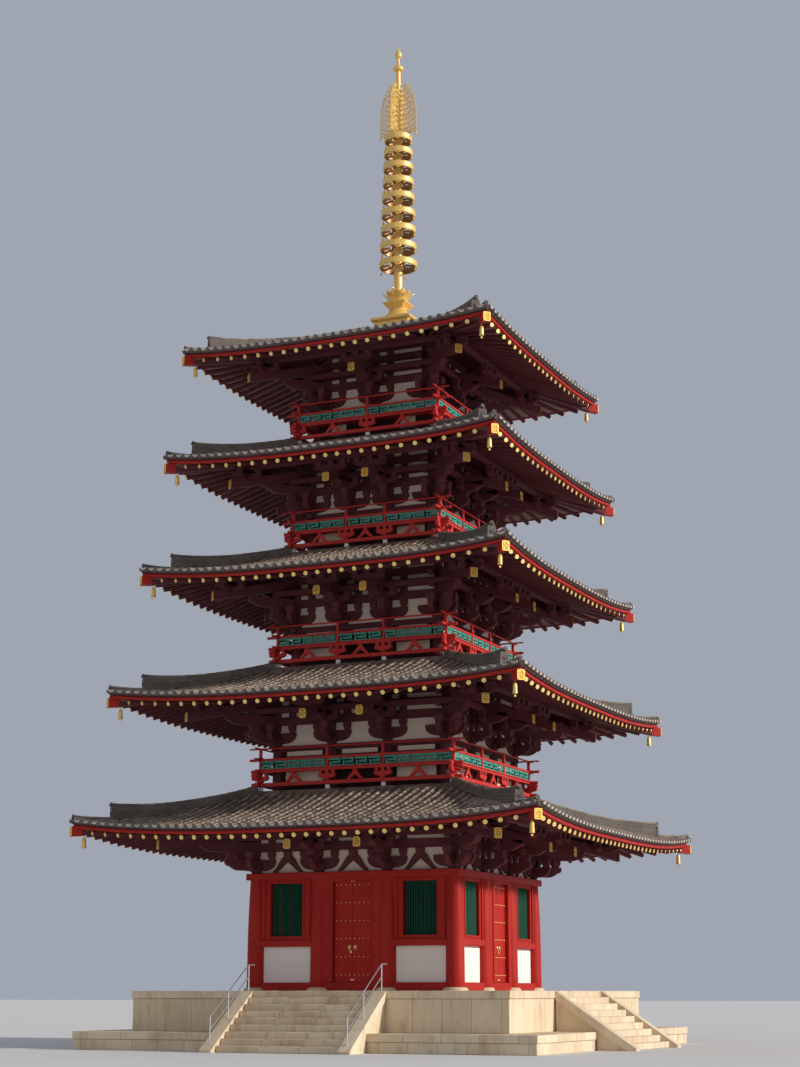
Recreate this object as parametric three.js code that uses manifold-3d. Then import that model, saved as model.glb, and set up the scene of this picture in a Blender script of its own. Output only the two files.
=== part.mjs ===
// A five-storey pagoda on a two-tier stone podium, at full size in millimetres, +Z up.
// The origin is on the ground at the centre of the plan, and the front is the -Y face.
// Every face repeats the front one, so most sub-parts are made once and turned by quarters.

import * as THREE from "three";
import { mergeVertices } from "three/addons/utils/BufferGeometryUtils.js";
import Module from "manifold-3d";

const wasm = await Module();
wasm.setup();

// Podium and stairs
const LOWER_HALF = 8350;
const LOWER_TOP = 605;
const UPPER_HALF = 6930;
const PODIUM_TOP = 1930;
const CAP_HEIGHT = 250;
const PANEL_INSET = 40;
const STAIR_HALF = 2655;
const STAIR_FOOT = 9700;
const CHEEK_WIDTH = 420;
const CHEEK_TOE = 80;
const RISERS = 9;

// Handrails of the front stair
const TUBE = 45;
const POST_HALF = 20;
const TUBE_HEIGHTS = [450, 850];
const HANDRAIL_FOOT = 250;
const HANDRAIL_HEAD = 100;
const HANDRAIL_LANDING = 400;

// Storeys, from the ground up: half-widths are measured from the axis to a face
// eave: corner rafter's end, tip: height of that end, tail: ends of the tail rafters
// board: height of the eave boards at mid-side, lift: how far the eave rises to its corners
// ring: column centres, bay: inner columns, head: column tops, deck: flat seat on top of the roof
const STOREYS = [
  {
    eave: 8580, tip: 7280, board: 7050, lift: 410, tail: 6380,
    ring: 3790, bay: [-1310, 1310], head: 5980, deck: 8910,
  },
  {
    eave: 7780, tip: 11820, board: 11690, lift: 350, tail: 5740,
    ring: 3290, bay: [-1090, 1090], head: 10540, deck: 13440,
  },
  {
    eave: 7030, tip: 16300, board: 16180, lift: 350, tail: 5120,
    ring: 2810, bay: [-910, 910], head: 14940, deck: 17820,
  },
  {
    eave: 6490, tip: 20560, board: 20520, lift: 310, tail: 4720,
    ring: 2410, bay: [-780, 780], head: 19280, deck: 22030,
  },
  {
    eave: 6080, tip: 24780, board: 24730, lift: 240, tail: 4260,
    ring: 2000, bay: [0], head: 23430, deck: 26860,
  },
];

// Eaves and roofs
const LIFT_POWER = 3;
const RAFTER_SLOPE = 0.32;
const RAFTER_LAYER = 200;
const RAFTER_END_INSET = 130;
const FASCIA_BACK = 160;
const FASCIA_FRONT = 50;
const FASCIA_DROP = 30;
const FASCIA_RISE = 125;
const TILE_OVERHANG = 80;
const TILE_DEPTH = 160;
const ROOF_SAG = 0.08;
const DECK_MARGIN = 70;
const SHAFT_HALF_AT_TOP = 400;
const HIP_WIDTH = 300;
const HIP_CROWN = 250;
const HIP_END_CROWN = 330;
const HIP_BED = 50;
const HIP_TAIL_HEIGHT = 120;
const HIP_REACH = 0.88;
const CORNER_RAFTER = { width: 260, height: 330, drop: 30, cap: 90 };
const ALONG = [-1, -0.78, -0.45, 0.45, 0.78, 1];

// Ground storey
const COLUMN_FOOT = 325;
const COLUMN_HEAD = 235;
const COLUMN_BELLY = { up: 0.45, taper: 12 };
const BASE_STONE = { radius: 430, height: 60, taper: 0.8 };
const SILL_HEIGHT = 280;
const RAIL_BOTTOM = 3430;
const RAIL_TOP = 3655;
const RAIL_PROUD = 10;
const HEAD_BOTTOM = 5750;
const FRAME_OUT = 200;
const FRAME_IN = 140;
const HEAD_OUT = 300;
const JAMB_WIDTH = 285;
const BURIED = 10;
const WINDOW_HALF = 625;
const WINDOW_OUT = 130;
const WINDOW_SILL = 135;
const WINDOW_LINTEL = 140;
const PLASTER_OUT = 30;
const PLASTER_IN = 90;

// Door leaves, on pivot stiles
const LEAF_THICKNESS = 80;
const LEAF_GAP = 5;
const LEAF_END_GAP = 10;
const LEAF_RECESS = 100;
const PIVOT_RADIUS = 25;
const SEAT_GAP = 0.3;

// Upper storeys
const WALL_THICKNESS = 200;
const WALL_PROUD = 60;
const UPPER_COLUMN = 200;
const ARM_WIDTH = 240;
const TAIL_DROP = 480;
const TAIL_DROP_CORNER = 360;
const PURLIN_BACK = 350;
const PURLIN = 200;
const PURLIN_SEAT = { height: 80, front: 100, back: 160, flare: 80 };
const TAIL_SLOPE = 0.3;
const ARM_IN_WALL = 50;

// Balconies, from the second storey up
// Heights are above the roof below
const RAILS = [3760, 3345, 2970, 2850];
const BALCONY_BEAM_HALF = 60;
const BALCONY_BASE = 290;
const BALCONY_FLOOR = [650, 780];
const LATTICE_TOP = 1045;
const LATTICE_HALF = 25;
const MIDDLE_RAIL_TOP = 1155;
const MIDDLE_RAIL_HALF = 55;
const TOP_RAIL_RISE = 1520;
const TOP_RAIL_HALF = 35;
const BALCONY_POST_HALF = 50;
const RAIL_PAST_CORNER = 430;

// Finial
const FINIAL_BOX_HALF = 830;
const FINIAL_BOX_TOP = 27420;
const CORNICE = { proud: 90, height: 130 };
const BOWL_TOP = 27940;
const NECK_HALF = 330;
const SLAB_HALF = 470;
const SLAB = [28000, 28140];
const LOTUS_TOP = 28690;
const CUP_FLOOR = 28360;
const MAST_RADIUS = 150;
const FIRST_RING = 29754;
const LAST_RING = 35100;
const RING_COUNT = 9;
const RING_RADII = [754, 562];
const RING_WALL = 60;
const RING_HALF_HEIGHT = 145;
const SPOKE = { half: 25, rise: 40 };
const FLAME_BOTTOM = 35290;
const FLAME_TOP = 37570;
const FLAME_HALF = 810;
const FLAME_THICKNESS = 44;
const FLAME_COLLAR = 200;
const BALL_CENTRE = 38190;
const BALL_RADIUS = 210;
const TOTAL_HEIGHT = 39200;

const STONE = new THREE.MeshStandardMaterial({ color: "#cdb893", roughness: 0.85, metalness: 0 });
const RED = new THREE.MeshStandardMaterial({ color: "#b3321f", roughness: 0.55, metalness: 0 });
const PLASTER = new THREE.MeshStandardMaterial({ color: "#ece6dc", roughness: 0.8, metalness: 0 });
const TILE = new THREE.MeshStandardMaterial({ color: "#77706a", roughness: 0.7, metalness: 0 });
const GOLD = new THREE.MeshStandardMaterial({ color: "#d9a93a", roughness: 0.35, metalness: 1 });
const STEEL = new THREE.MeshStandardMaterial({ color: "#b9bcbf", roughness: 0.35, metalness: 1 });

// Joined faces closer to flat than this become one face
const FLATNESS = 0.05;

const SIDES = ["front", "right", "back", "left"];
const pagoda = new THREE.Group();

// Shapes and joins

function solid(geometry) {
  const bare = new THREE.BufferGeometry();
  bare.setAttribute("position", geometry.getAttribute("position"));
  if (geometry.index) bare.setIndex(geometry.index);
  const merged = mergeVertices(bare, 1e-3);
  const mesh = new wasm.Mesh({
    numProp: 3,
    vertProperties: new Float32Array(merged.attributes.position.array),
    triVerts: new Uint32Array(merged.index.array),
  });
  return new wasm.Manifold(mesh);
}

function geometryOf(body) {
  const mesh = body.getMesh();
  const geometry = new THREE.BufferGeometry();
  geometry.setAttribute("position", new THREE.BufferAttribute(mesh.vertProperties, 3));
  geometry.setIndex(new THREE.BufferAttribute(mesh.triVerts, 1));
  return geometry;
}

function join(shapes) {
  const whole = shapes.map(solid).reduce((sum, next) => sum.add(next));
  return geometryOf(whole.asOriginal().simplify(FLATNESS));
}

function cut(shape, holes) {
  return geometryOf(holes.map(solid).reduce((whole, hole) => whole.subtract(hole), solid(shape)));
}

function add(name, geometry, material) {
  const flat = geometry.index ? geometry.toNonIndexed() : geometry;
  flat.computeVertexNormals();
  const mesh = new THREE.Mesh(flat, material);
  mesh.name = name;
  pagoda.add(mesh);
}

function quarterTurned(geometry, turns) {
  const cos = [1, 0, -1, 0][turns];
  const sin = [0, 1, 0, -1][turns];
  const turn = new THREE.Matrix4().set(cos, -sin, 0, 0, sin, cos, 0, 0, 0, 0, 1, 0, 0, 0, 0, 1);
  return geometry.clone().applyMatrix4(turn);
}

function onAllSides(shapes) {
  return [0, 1, 2, 3].flatMap((turns) => shapes.map((shape) => quarterTurned(shape, turns)));
}

function block(x0, x1, y0, y1, z0, z1) {
  const box = new THREE.BoxGeometry(x1 - x0, y1 - y0, z1 - z0);
  return box.translate((x0 + x1) / 2, (y0 + y1) / 2, (z0 + z1) / 2);
}

// A plate whose outline is given in X and Z, between two places along Y
function plate(outline, y0, y1) {
  const shape = new THREE.Shape(outline.map(([x, z]) => new THREE.Vector2(x, z)));
  const extruded = new THREE.ExtrudeGeometry(shape, { depth: y1 - y0, bevelEnabled: false });
  const upright = new THREE.Matrix4().set(1, 0, 0, 0, 0, 0, -1, y1, 0, 1, 0, 0, 0, 0, 0, 1);
  return extruded.applyMatrix4(upright);
}

// A plate whose outline is given as distance in front of the axis and height
function sidePlate(outline, x0, x1) {
  const upright = plate(outline, x0, x1);
  const forward = new THREE.Matrix4().set(0, 1, 0, 0, -1, 0, 0, 0, 0, 0, 1, 0, 0, 0, 0, 1);
  return upright.applyMatrix4(forward);
}

function post(x, y, z0, z1, footRadius, headRadius, sides = 12) {
  const shaft = new THREE.CylinderGeometry(headRadius, footRadius, z1 - z0, sides);
  return shaft.rotateX(Math.PI / 2).translate(x, y, (z0 + z1) / 2);
}

function turned(profile, sides) {
  const points = profile.map(([radius, z]) => new THREE.Vector2(radius, z));
  return new THREE.LatheGeometry(points, sides).rotateX(Math.PI / 2);
}

// A straight bar between two points, upright in section
function bar(from, to, width, height) {
  const start = new THREE.Vector3(...from);
  const run = new THREE.Vector3(...to).sub(start);
  const along = run.clone().normalize();
  const side = new THREE.Vector3(0, 0, 1).cross(along).normalize();
  const up = along.clone().cross(side);
  const frame = new THREE.Matrix4().makeBasis(along, side, up);
  const beam = new THREE.BoxGeometry(run.length(), width, height).applyMatrix4(frame);
  return beam.translate(start.x + run.x / 2, start.y + run.y / 2, start.z + run.z / 2);
}

function squareRing(outer, inner, z0, z1) {
  const side = block(-outer, outer, -outer, -inner, z0, z1);
  return onAllSides([side]);
}

// A closed profile of distances and heights, carried round four hips and lifted to the corners
function hippedRing(profile, liftAt, along = ALONG) {
  const positions = [];
  const vertex = (side, step, [reach, z]) => {
    const across = reach * along[step];
    const lifted = z + liftAt(Math.abs(across), reach);
    const places = [[across, -reach], [reach, across], [-across, reach], [-reach, -across]];
    return [...places[side], lifted];
  };
  const inward = ([reachA, zA], [reachB, zB]) => reachA < reachB || (reachA === reachB && zA < zB);
  for (let side = 0; side < 4; side++) {
    profile.forEach((a, i) => {
      const b = profile[(i + 1) % profile.length];
      for (let step = 0; step < along.length - 1; step++) {
        const a0 = vertex(side, step, a);
        const b0 = vertex(side, step, b);
        const a1 = vertex(side, step + 1, a);
        const b1 = vertex(side, step + 1, b);
        const faces = inward(a, b) ? [a0, a1, b1, a0, b1, b0] : [a0, a1, b0, a1, b1, b0];
        faces.forEach((corner) => positions.push(...corner));
      }
    });
  }
  const geometry = new THREE.BufferGeometry();
  geometry.setAttribute("position", new THREE.BufferAttribute(new Float32Array(positions), 3));
  return geometry;
}

// What a storey's numbers lead to

function planOf(storey, index) {
  const above = STOREYS[index + 1];
  const rail = RAILS[index - 1];
  const shoulder = storey.ring + WALL_THICKNESS / 2;
  const deckHalf = (above ? RAILS[index] : FINIAL_BOX_HALF) + DECK_MARGIN;
  const inner = above ? above.ring - WALL_THICKNESS : SHAFT_HALF_AT_TOP;
  const purlin = storey.tail - PURLIN_BACK;
  const flat = Math.max(deckHalf, shoulder, purlin);
  const boardAt = (reach) => storey.board + RAFTER_SLOPE * (storey.eave - Math.max(reach, shoulder));
  const liftAt = (across, reach) => {
    const outward = Math.max(0, (reach - flat) / (storey.eave - flat));
    return storey.lift * (across / storey.eave) ** LIFT_POWER * outward;
  };
  const edge = storey.eave + TILE_OVERHANG;
  const tileEdge = storey.board + FASCIA_RISE + TILE_DEPTH;
  const roofAt = (reach) => {
    const up = Math.min(1, (edge - reach) / (edge - deckHalf));
    return tileEdge + (storey.deck - tileEdge) * (up - ROOF_SAG * 4 * up * (1 - up));
  };
  const doorHalf = storey.bay.at(-1) - COLUMN_FOOT - JAMB_WIDTH + BURIED;
  return {
    ...storey, rail, shoulder, deckHalf, inner, boardAt, liftAt, edge, roofAt, purlin, doorHalf,
  };
}

const plans = STOREYS.map(planOf);
const columnPlaces = (plan) => [-plan.ring, ...plan.bay];

// Podium

function podiumTier(half, z0, z1) {
  const core = half - PANEL_INSET;
  return [
    block(-core, core, -core, core, z0, z1),
    block(-half, half, -half, half, z1 - CAP_HEIGHT, z1),
  ];
}

function baseStones(clear = 0) {
  const top = PODIUM_TOP + BASE_STONE.height + clear;
  const radius = BASE_STONE.radius + clear;
  const places = columnPlaces(plans[0]).slice(0, 3);
  return onAllSides(
    places.map((x) =>
      post(x, -plans[0].ring, PODIUM_TOP - BURIED, top, radius, radius * BASE_STONE.taper, 8),
    ),
  );
}

function stair() {
  const rise = PODIUM_TOP / RISERS;
  const run = (STAIR_FOOT - UPPER_HALF) / RISERS;
  const under = [[UPPER_HALF, LOWER_TOP], [LOWER_HALF, LOWER_TOP], [LOWER_HALF, 0]];
  const steps = [];
  for (let step = 1; step < RISERS; step++) {
    const face = STAIR_FOOT - run * step;
    steps.push([face, rise * (step - 1)], [face, rise * step]);
  }
  steps.shift();
  const flight = [...under, [STAIR_FOOT - run, 0], ...steps, [UPPER_HALF, rise * (RISERS - 1)]];
  const cheek = [...under, [STAIR_FOOT, 0], [STAIR_FOOT, CHEEK_TOE], [UPPER_HALF, PODIUM_TOP]];
  const inside = STAIR_HALF - CHEEK_WIDTH;
  return join([
    sidePlate(flight, -inside - BURIED, inside + BURIED),
    sidePlate(cheek, -STAIR_HALF, -inside),
    sidePlate(cheek, inside, STAIR_HALF),
  ]);
}

// Two sloping tubes on posts that stand on a cheek of the stair, and a level end on the podium
function handrail(side) {
  const slope = (PODIUM_TOP - CHEEK_TOE) / (STAIR_FOOT - UPPER_HALF);
  const x = side * (STAIR_HALF - CHEEK_WIDTH / 2);
  const cheekTop = (reach) => PODIUM_TOP - slope * (reach - UPPER_HALF);
  const foot = STAIR_FOOT - HANDRAIL_FOOT;
  const head = UPPER_HALF - HANDRAIL_HEAD;
  const half = TUBE / 2;
  const top = TUBE_HEIGHTS[1];
  const tubes = TUBE_HEIGHTS.map((height) =>
    bar([x, -foot, cheekTop(foot) + height], [x, -head, PODIUM_TOP + height], TUBE, TUBE),
  );
  const level = block(x - half, x + half, -head - half, -head + HANDRAIL_LANDING,
    PODIUM_TOP + top - TUBE, PODIUM_TOP + top);
  const standing = (reach, z0, z1) =>
    block(x - POST_HALF, x + POST_HALF, -reach - POST_HALF, -reach + POST_HALF, z0, z1);
  const posts = [foot - TUBE, (foot + UPPER_HALF + TUBE) / 2].map((reach) =>
    standing(reach, cheekTop(reach) - TUBE, cheekTop(reach) + top + BURIED),
  );
  const landing = UPPER_HALF - HANDRAIL_LANDING;
  const stone = sidePlate(
    [[landing, 0], [STAIR_FOOT, 0], [STAIR_FOOT, CHEEK_TOE], [UPPER_HALF, PODIUM_TOP],
      [landing, PODIUM_TOP]],
    x - CHEEK_WIDTH / 2, x + CHEEK_WIDTH / 2,
  );
  const shapes = [...tubes, level, ...posts, standing(head, PODIUM_TOP, PODIUM_TOP + top)];
  return cut(join(shapes), [stone.translate(0, 0, SEAT_GAP)]);
}

// Ground storey

function groundColumn(x, y, extra = 0) {
  const foot = PODIUM_TOP + BASE_STONE.height;
  const { head } = STOREYS[0];
  const belly = foot + (head - foot) * COLUMN_BELLY.up;
  const outline = [[0, foot], [COLUMN_FOOT + extra, foot],
    [COLUMN_FOOT - COLUMN_BELLY.taper + extra, belly], [COLUMN_HEAD + extra, head], [0, head]];
  return turned(outline, 8).rotateZ(Math.PI / 8).translate(x, y, 0);
}

function groundFrame(plan) {
  const { ring, head } = plan;
  const columns = columnPlaces(plan).slice(0, 3).map((x) => groundColumn(x, -ring));
  const beams = [
    ...squareRing(ring + FRAME_OUT, ring - FRAME_IN, PODIUM_TOP, PODIUM_TOP + SILL_HEIGHT),
    ...squareRing(ring + HEAD_OUT, ring - FRAME_IN, HEAD_BOTTOM, head),
  ];
  const bay = plan.bay[1];
  const outside = -ring - FRAME_OUT;
  const inside = -ring + FRAME_IN;
  const sill = PODIUM_TOP + SILL_HEIGHT - BURIED;
  const timbers = [-1, 1].flatMap((hand) => {
    const rail = [hand * bay, hand * ring].sort((a, b) => a - b);
    const jamb = [hand * plan.doorHalf, hand * bay].sort((a, b) => a - b);
    return [
      block(rail[0], rail[1], outside - RAIL_PROUD, inside, RAIL_BOTTOM, RAIL_TOP),
      block(jamb[0], jamb[1], outside, inside, sill, HEAD_BOTTOM + BURIED),
    ];
  });
  const frame = join([...onAllSides(columns), ...beams, ...onAllSides(timbers)]);
  return cut(frame, baseStones(SEAT_GAP));
}

// Infill between a side bay's columns, cut clear of them
function bayInfill(plan, shape) {
  const sleeves = [plan.bay[1], plan.ring].map((x) => groundColumn(x, -plan.ring, SEAT_GAP));
  return cut(shape, sleeves);
}

function plasterPanel(plan) {
  const { ring, bay } = plan;
  const panel = block(bay[1] + 100, ring - 100, -ring - PLASTER_OUT, -ring + PLASTER_IN,
    PODIUM_TOP + SILL_HEIGHT, RAIL_BOTTOM);
  return bayInfill(plan, panel);
}

function windowFrame(plan) {
  const { ring, bay } = plan;
  const centre = (bay[1] + ring) / 2;
  const frame = block(bay[1] + 100, ring - 100, -ring - WINDOW_OUT, -ring + FRAME_IN,
    RAIL_TOP, HEAD_BOTTOM);
  const opening = block(centre - WINDOW_HALF, centre + WINDOW_HALF, -ring - 500, -ring + 500,
    RAIL_TOP + WINDOW_SILL, HEAD_BOTTOM - WINDOW_LINTEL);
  return bayInfill(plan, cut(frame, [opening]));
}

function mirroredX(geometry) {
  const flipped = geometry.clone().scale(-1, 1, 1);
  const flat = flipped.index ? flipped.toNonIndexed() : flipped;
  const place = flat.getAttribute("position");
  for (let i = 0; i < place.count; i += 3) {
    const [x, y, z] = [place.getX(i), place.getY(i), place.getZ(i)];
    place.setXYZ(i, place.getX(i + 1), place.getY(i + 1), place.getZ(i + 1));
    place.setXYZ(i + 1, x, y, z);
  }
  return flat;
}

// The right-hand leaf of the front doorway, closed, on its pivot stile
function doorLeaf(plan) {
  const outerFace = -plan.ring - FRAME_OUT + LEAF_RECESS;
  const pivotY = outerFace + LEAF_THICKNESS / 2;
  const pivotX = plan.doorHalf - LEAF_GAP - LEAF_THICKNESS / 2;
  const sill = PODIUM_TOP + SILL_HEIGHT;
  const bottom = sill + LEAF_END_GAP;
  const top = HEAD_BOTTOM - LEAF_END_GAP;
  const stile = LEAF_THICKNESS / 2;
  return join([
    block(LEAF_GAP, pivotX, outerFace, outerFace + LEAF_THICKNESS, bottom, top),
    post(pivotX, pivotY, bottom, top, stile, stile),
    post(pivotX, pivotY, sill + SEAT_GAP, HEAD_BOTTOM - SEAT_GAP, PIVOT_RADIUS, PIVOT_RADIUS, 8),
  ]);
}

// Upper storeys

function upperWall(plan, index) {
  const { ring, head: top } = plan;
  const foot = plans[index - 1].deck;
  const half = WALL_THICKNESS / 2;
  const wall = squareRing(ring + WALL_PROUD, ring - half, foot, top);
  const columns = columnPlaces(plan).map((x) =>
    post(x, -ring, foot, top, UPPER_COLUMN, UPPER_COLUMN, 8),
  );
  return join([...wall, ...onAllSides(columns)]);
}

// Bracket arms, tail rafters and purlin under the eaves
function brackets(plan) {
  const { ring, purlin, shoulder, head } = plan;
  const under = (reach) => plan.boardAt(reach) - RAFTER_LAYER;
  const band = squareRing(shoulder, ring - WALL_THICKNESS / 2, head, under(shoulder));
  const top = under(purlin);
  const purlinRing = squareRing(purlin, purlin - PURLIN, top - PURLIN, top);
  const half = ARM_WIDTH / 2;
  const arms = plan.bay.map((x) => sidePlate(armOutline(plan, 1), x - half, x + half));
  const corner = sidePlate(armOutline(plan, Math.SQRT2), -half, half).rotateZ(Math.PI / 4);
  const whole = join([...band, ...purlinRing, ...onAllSides([...arms, corner])]);
  return cut(whole, onAllSides([cornerRafter(plan, SEAT_GAP)]));
}

// The side of one arm with its tail rafter and purlin seat; a corner arm is stretched along the hip
function armOutline(plan, stretch) {
  const wall = plan.ring * stretch - ARM_IN_WALL;
  const tail = plan.tail * stretch;
  const seat = (plan.purlin - PURLIN / 2) * stretch;
  const foot = plan.head;
  const rise = (plan.tip - foot) / 4;
  const step = (seat - plan.ring * stretch) / 3;
  const out = (steps) => plan.ring * stretch + step * steps;
  const tailHeight = plan.tip - (stretch > 1 ? TAIL_DROP_CORNER : TAIL_DROP);
  const tailMiddle = (distance) => tailHeight + (TAIL_SLOPE / stretch) * (tail - distance);
  const half = CORNER_RAFTER.height / 2;
  const seatTop = plan.boardAt(plan.purlin) - RAFTER_LAYER - PURLIN + PURLIN_SEAT.height;
  const [front, back] = [seat + PURLIN_SEAT.front, seat - PURLIN_SEAT.back];
  const flare = PURLIN_SEAT.flare;
  return [
    [wall, foot + ARM_IN_WALL / 2],
    [out(0.7), foot + rise * 0.3],
    [out(1), foot + rise * 0.8],
    [out(1.7), foot + rise * 1.2],
    [out(2), tailMiddle(out(2)) - half],
    [tail, tailHeight - half],
    [tail, tailHeight + half],
    [front + flare, tailMiddle(front + flare) + half],
    [front, seatTop],
    [back, seatTop],
    [back - flare, tailMiddle(back - flare) + half],
    [wall, tailMiddle(wall) + half],
  ];
}

function cornerRafter(plan, clear = 0) {
  const { eave, shoulder, boardAt, tip } = plan;
  const { width, height, drop, cap } = CORNER_RAFTER;
  const end = eave * Math.SQRT2;
  const start = shoulder * Math.SQRT2;
  const low = boardAt(shoulder) - height - drop - clear;
  const outline = [
    [start, low],
    [end, tip - height / 2 - clear],
    [end, tip + height / 2],
    [end - cap, tip + height / 2],
    [end - cap, tip],
    [start, low + CORNER_RAFTER.width / 2],
  ];
  return sidePlate(outline, -width / 2 - clear, width / 2 + clear).rotateZ(Math.PI / 4);
}

// Where the fascia board lies at the eave
function fasciaOf(plan) {
  const { eave, boardAt } = plan;
  return {
    back: eave - FASCIA_BACK,
    front: eave - FASCIA_FRONT,
    bottom: boardAt(eave) - FASCIA_DROP,
    top: boardAt(eave) + FASCIA_RISE,
  };
}

// Rafters and boards as one layer, with the fascia and the corner rafters
function eaves(plan) {
  const { eave, inner, shoulder, purlin, boardAt } = plan;
  const under = (reach) => boardAt(reach) - RAFTER_LAYER;
  const rafterEnd = eave - RAFTER_END_INSET;
  const fascia = fasciaOf(plan);
  const profile = [
    [inner, under(shoulder)],
    [shoulder, under(shoulder)],
    [purlin, under(purlin)],
    [rafterEnd, under(rafterEnd)],
    [rafterEnd, fascia.bottom],
    [fascia.front, fascia.bottom],
    [fascia.front, fascia.top],
    [fascia.back, fascia.top],
    [fascia.back, boardAt(fascia.back)],
    [shoulder, boardAt(shoulder)],
    [inner, boardAt(shoulder)],
  ];
  const layer = hippedRing(profile, plan.liftAt);
  return join([layer, ...onAllSides([cornerRafter(plan)])]);
}

function roof(plan) {
  const { inner, shoulder, deckHalf, boardAt, edge, roofAt, deck } = plan;
  const { back, front, top } = fasciaOf(plan);
  const bed = (reach) => boardAt(reach) + SEAT_GAP;
  const slope = [0, 0.3, 0.66].map((part) => {
    const reach = edge - (edge - deckHalf) * part;
    return [reach, roofAt(reach)];
  });
  const profile = [
    [inner, bed(shoulder)],
    [shoulder, bed(shoulder)],
    [back, bed(back)],
    [back, top + SEAT_GAP],
    [front, top + SEAT_GAP],
    [edge, top + SEAT_GAP],
    ...slope,
    [deckHalf, deck],
    [inner, deck],
  ];
  const shell = hippedRing(profile, plan.liftAt);
  return join([shell, ...onAllSides([hipRidge(plan)])]);
}

// A ridge down the hip, stopping short of the corner, and a lower row on to the corner
function hipRidge(plan) {
  const { eave, deckHalf, roofAt, liftAt } = plan;
  const surface = (reach) => roofAt(reach) + liftAt(reach, reach);
  const start = deckHalf + BURIED;
  const end = eave * HIP_REACH;
  const middle = (start + end) / 2;
  const tip = eave - TILE_OVERHANG / 2;
  const outline = [
    [start, surface(start) - HIP_BED],
    [middle, surface(middle) - HIP_BED],
    [tip, surface(tip) - HIP_BED / 2],
    [tip, surface(tip) + HIP_TAIL_HEIGHT],
    [end, surface(end) + HIP_TAIL_HEIGHT],
    [end, surface(end) + HIP_END_CROWN],
    [middle, surface(middle) + HIP_CROWN],
    [start, surface(start) + HIP_CROWN],
  ].map(([reach, z]) => [reach * Math.SQRT2, z]);
  return sidePlate(outline, -HIP_WIDTH / 2, HIP_WIDTH / 2).rotateZ(Math.PI / 4);
}

// A floor round the wall on a base beam and corner props, with a lattice band and two rails
function balcony(plan, index) {
  const { rail, ring, bay } = plan;
  const base = plans[index - 1].deck;
  const [floorBottom, floorTop] = BALCONY_FLOOR.map((height) => base + height);
  const outer = rail + BALCONY_BEAM_HALF;
  const wallFace = ring + UPPER_COLUMN + SEAT_GAP;
  const band = [
    [wallFace, floorBottom],
    [outer, floorBottom],
    [outer, floorTop],
    [rail + LATTICE_HALF, floorTop],
    [rail + LATTICE_HALF, base + LATTICE_TOP],
    [rail + MIDDLE_RAIL_HALF, base + LATTICE_TOP],
    [rail + MIDDLE_RAIL_HALF, base + MIDDLE_RAIL_TOP],
    [rail - MIDDLE_RAIL_HALF, base + MIDDLE_RAIL_TOP],
    [rail - MIDDLE_RAIL_HALF, base + LATTICE_TOP],
    [rail - LATTICE_HALF, base + LATTICE_TOP],
    [rail - LATTICE_HALF, floorTop],
    [wallFace, floorTop],
  ];
  const level = hippedRing(band, () => 0, [-1, 1]);
  const baseBeam = squareRing(outer, outer - BALCONY_BASE / 2, base, base + BALCONY_BASE);
  const end = rail + RAIL_PAST_CORNER;
  const railTop = base + TOP_RAIL_RISE;
  const topRail = block(-end, end, -rail - TOP_RAIL_HALF, -rail + TOP_RAIL_HALF,
    railTop - TOP_RAIL_HALF, railTop + TOP_RAIL_HALF);
  const upright = (x, half, z0, z1) => block(x - half, x + half, -rail - half, -rail + half, z0, z1);
  const posts = [-rail, ...bay].map((x) =>
    upright(x, BALCONY_POST_HALF, base + MIDDLE_RAIL_TOP - BURIED, railTop),
  );
  const prop = upright(-rail, BALCONY_BEAM_HALF, base + BALCONY_BASE - BURIED, floorBottom + BURIED);
  return join([level, ...baseBeam, ...onAllSides([topRail, prop, ...posts])]);
}

// Finial

// A box with a cornice, a flared bowl, a square slab and a cup of petals
function finialBase() {
  const box = FINIAL_BOX_HALF - CORNICE.proud;
  const square = (half, z0, z1) => block(-half, half, -half, half, z0, z1);
  const bowlFoot = FINIAL_BOX_TOP - BURIED;
  const bowl = turned(
    [[0, bowlFoot], [640, bowlFoot], [560, bowlFoot + 150], [380, bowlFoot + 410],
      [300, BOWL_TOP], [0, BOWL_TOP]],
    20,
  );
  const cupFoot = SLAB[1] - BURIED;
  const cup = turned(
    [[0, cupFoot], [300, cupFoot], [430, cupFoot + 210], [520, LOTUS_TOP], [440, LOTUS_TOP],
      [200, CUP_FLOOR], [0, CUP_FLOOR]],
    16,
  );
  return join([
    square(box, plans.at(-1).deck, FINIAL_BOX_TOP - CORNICE.height + BURIED),
    square(FINIAL_BOX_HALF, FINIAL_BOX_TOP - CORNICE.height, FINIAL_BOX_TOP),
    bowl,
    square(NECK_HALF, BOWL_TOP - BURIED, SLAB[0] + BURIED),
    square(SLAB_HALF, ...SLAB),
    cup,
  ]);
}

// The mast with its rings, each on four spokes
function finialRings() {
  const facing = Math.PI / 12;
  const mast = post(0, 0, CUP_FLOOR + SEAT_GAP, FLAME_BOTTOM, MAST_RADIUS, MAST_RADIUS * 0.8, 12);
  const shapes = [mast.rotateZ(facing)];
  for (let ring = 0; ring < RING_COUNT; ring++) {
    const up = ring / (RING_COUNT - 1);
    const z = FIRST_RING + (LAST_RING - FIRST_RING) * up * (1.1 - up * 0.1);
    const radius = RING_RADII[0] + (RING_RADII[1] - RING_RADII[0]) * up;
    const [bottom, top] = [z - RING_HALF_HEIGHT, z + RING_HALF_HEIGHT];
    const inside = radius - RING_WALL;
    const section = [[radius, bottom], [radius, top], [inside, top], [inside, bottom], [radius, bottom]];
    const reach = radius - RING_WALL / 2;
    const spoke = block(-reach, reach, -SPOKE.half, SPOKE.half, z - SPOKE.rise, z + SPOKE.rise);
    shapes.push(turned(section, 12).rotateZ(facing), spoke, quarterTurned(spoke, 1));
  }
  return join(shapes);
}

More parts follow.
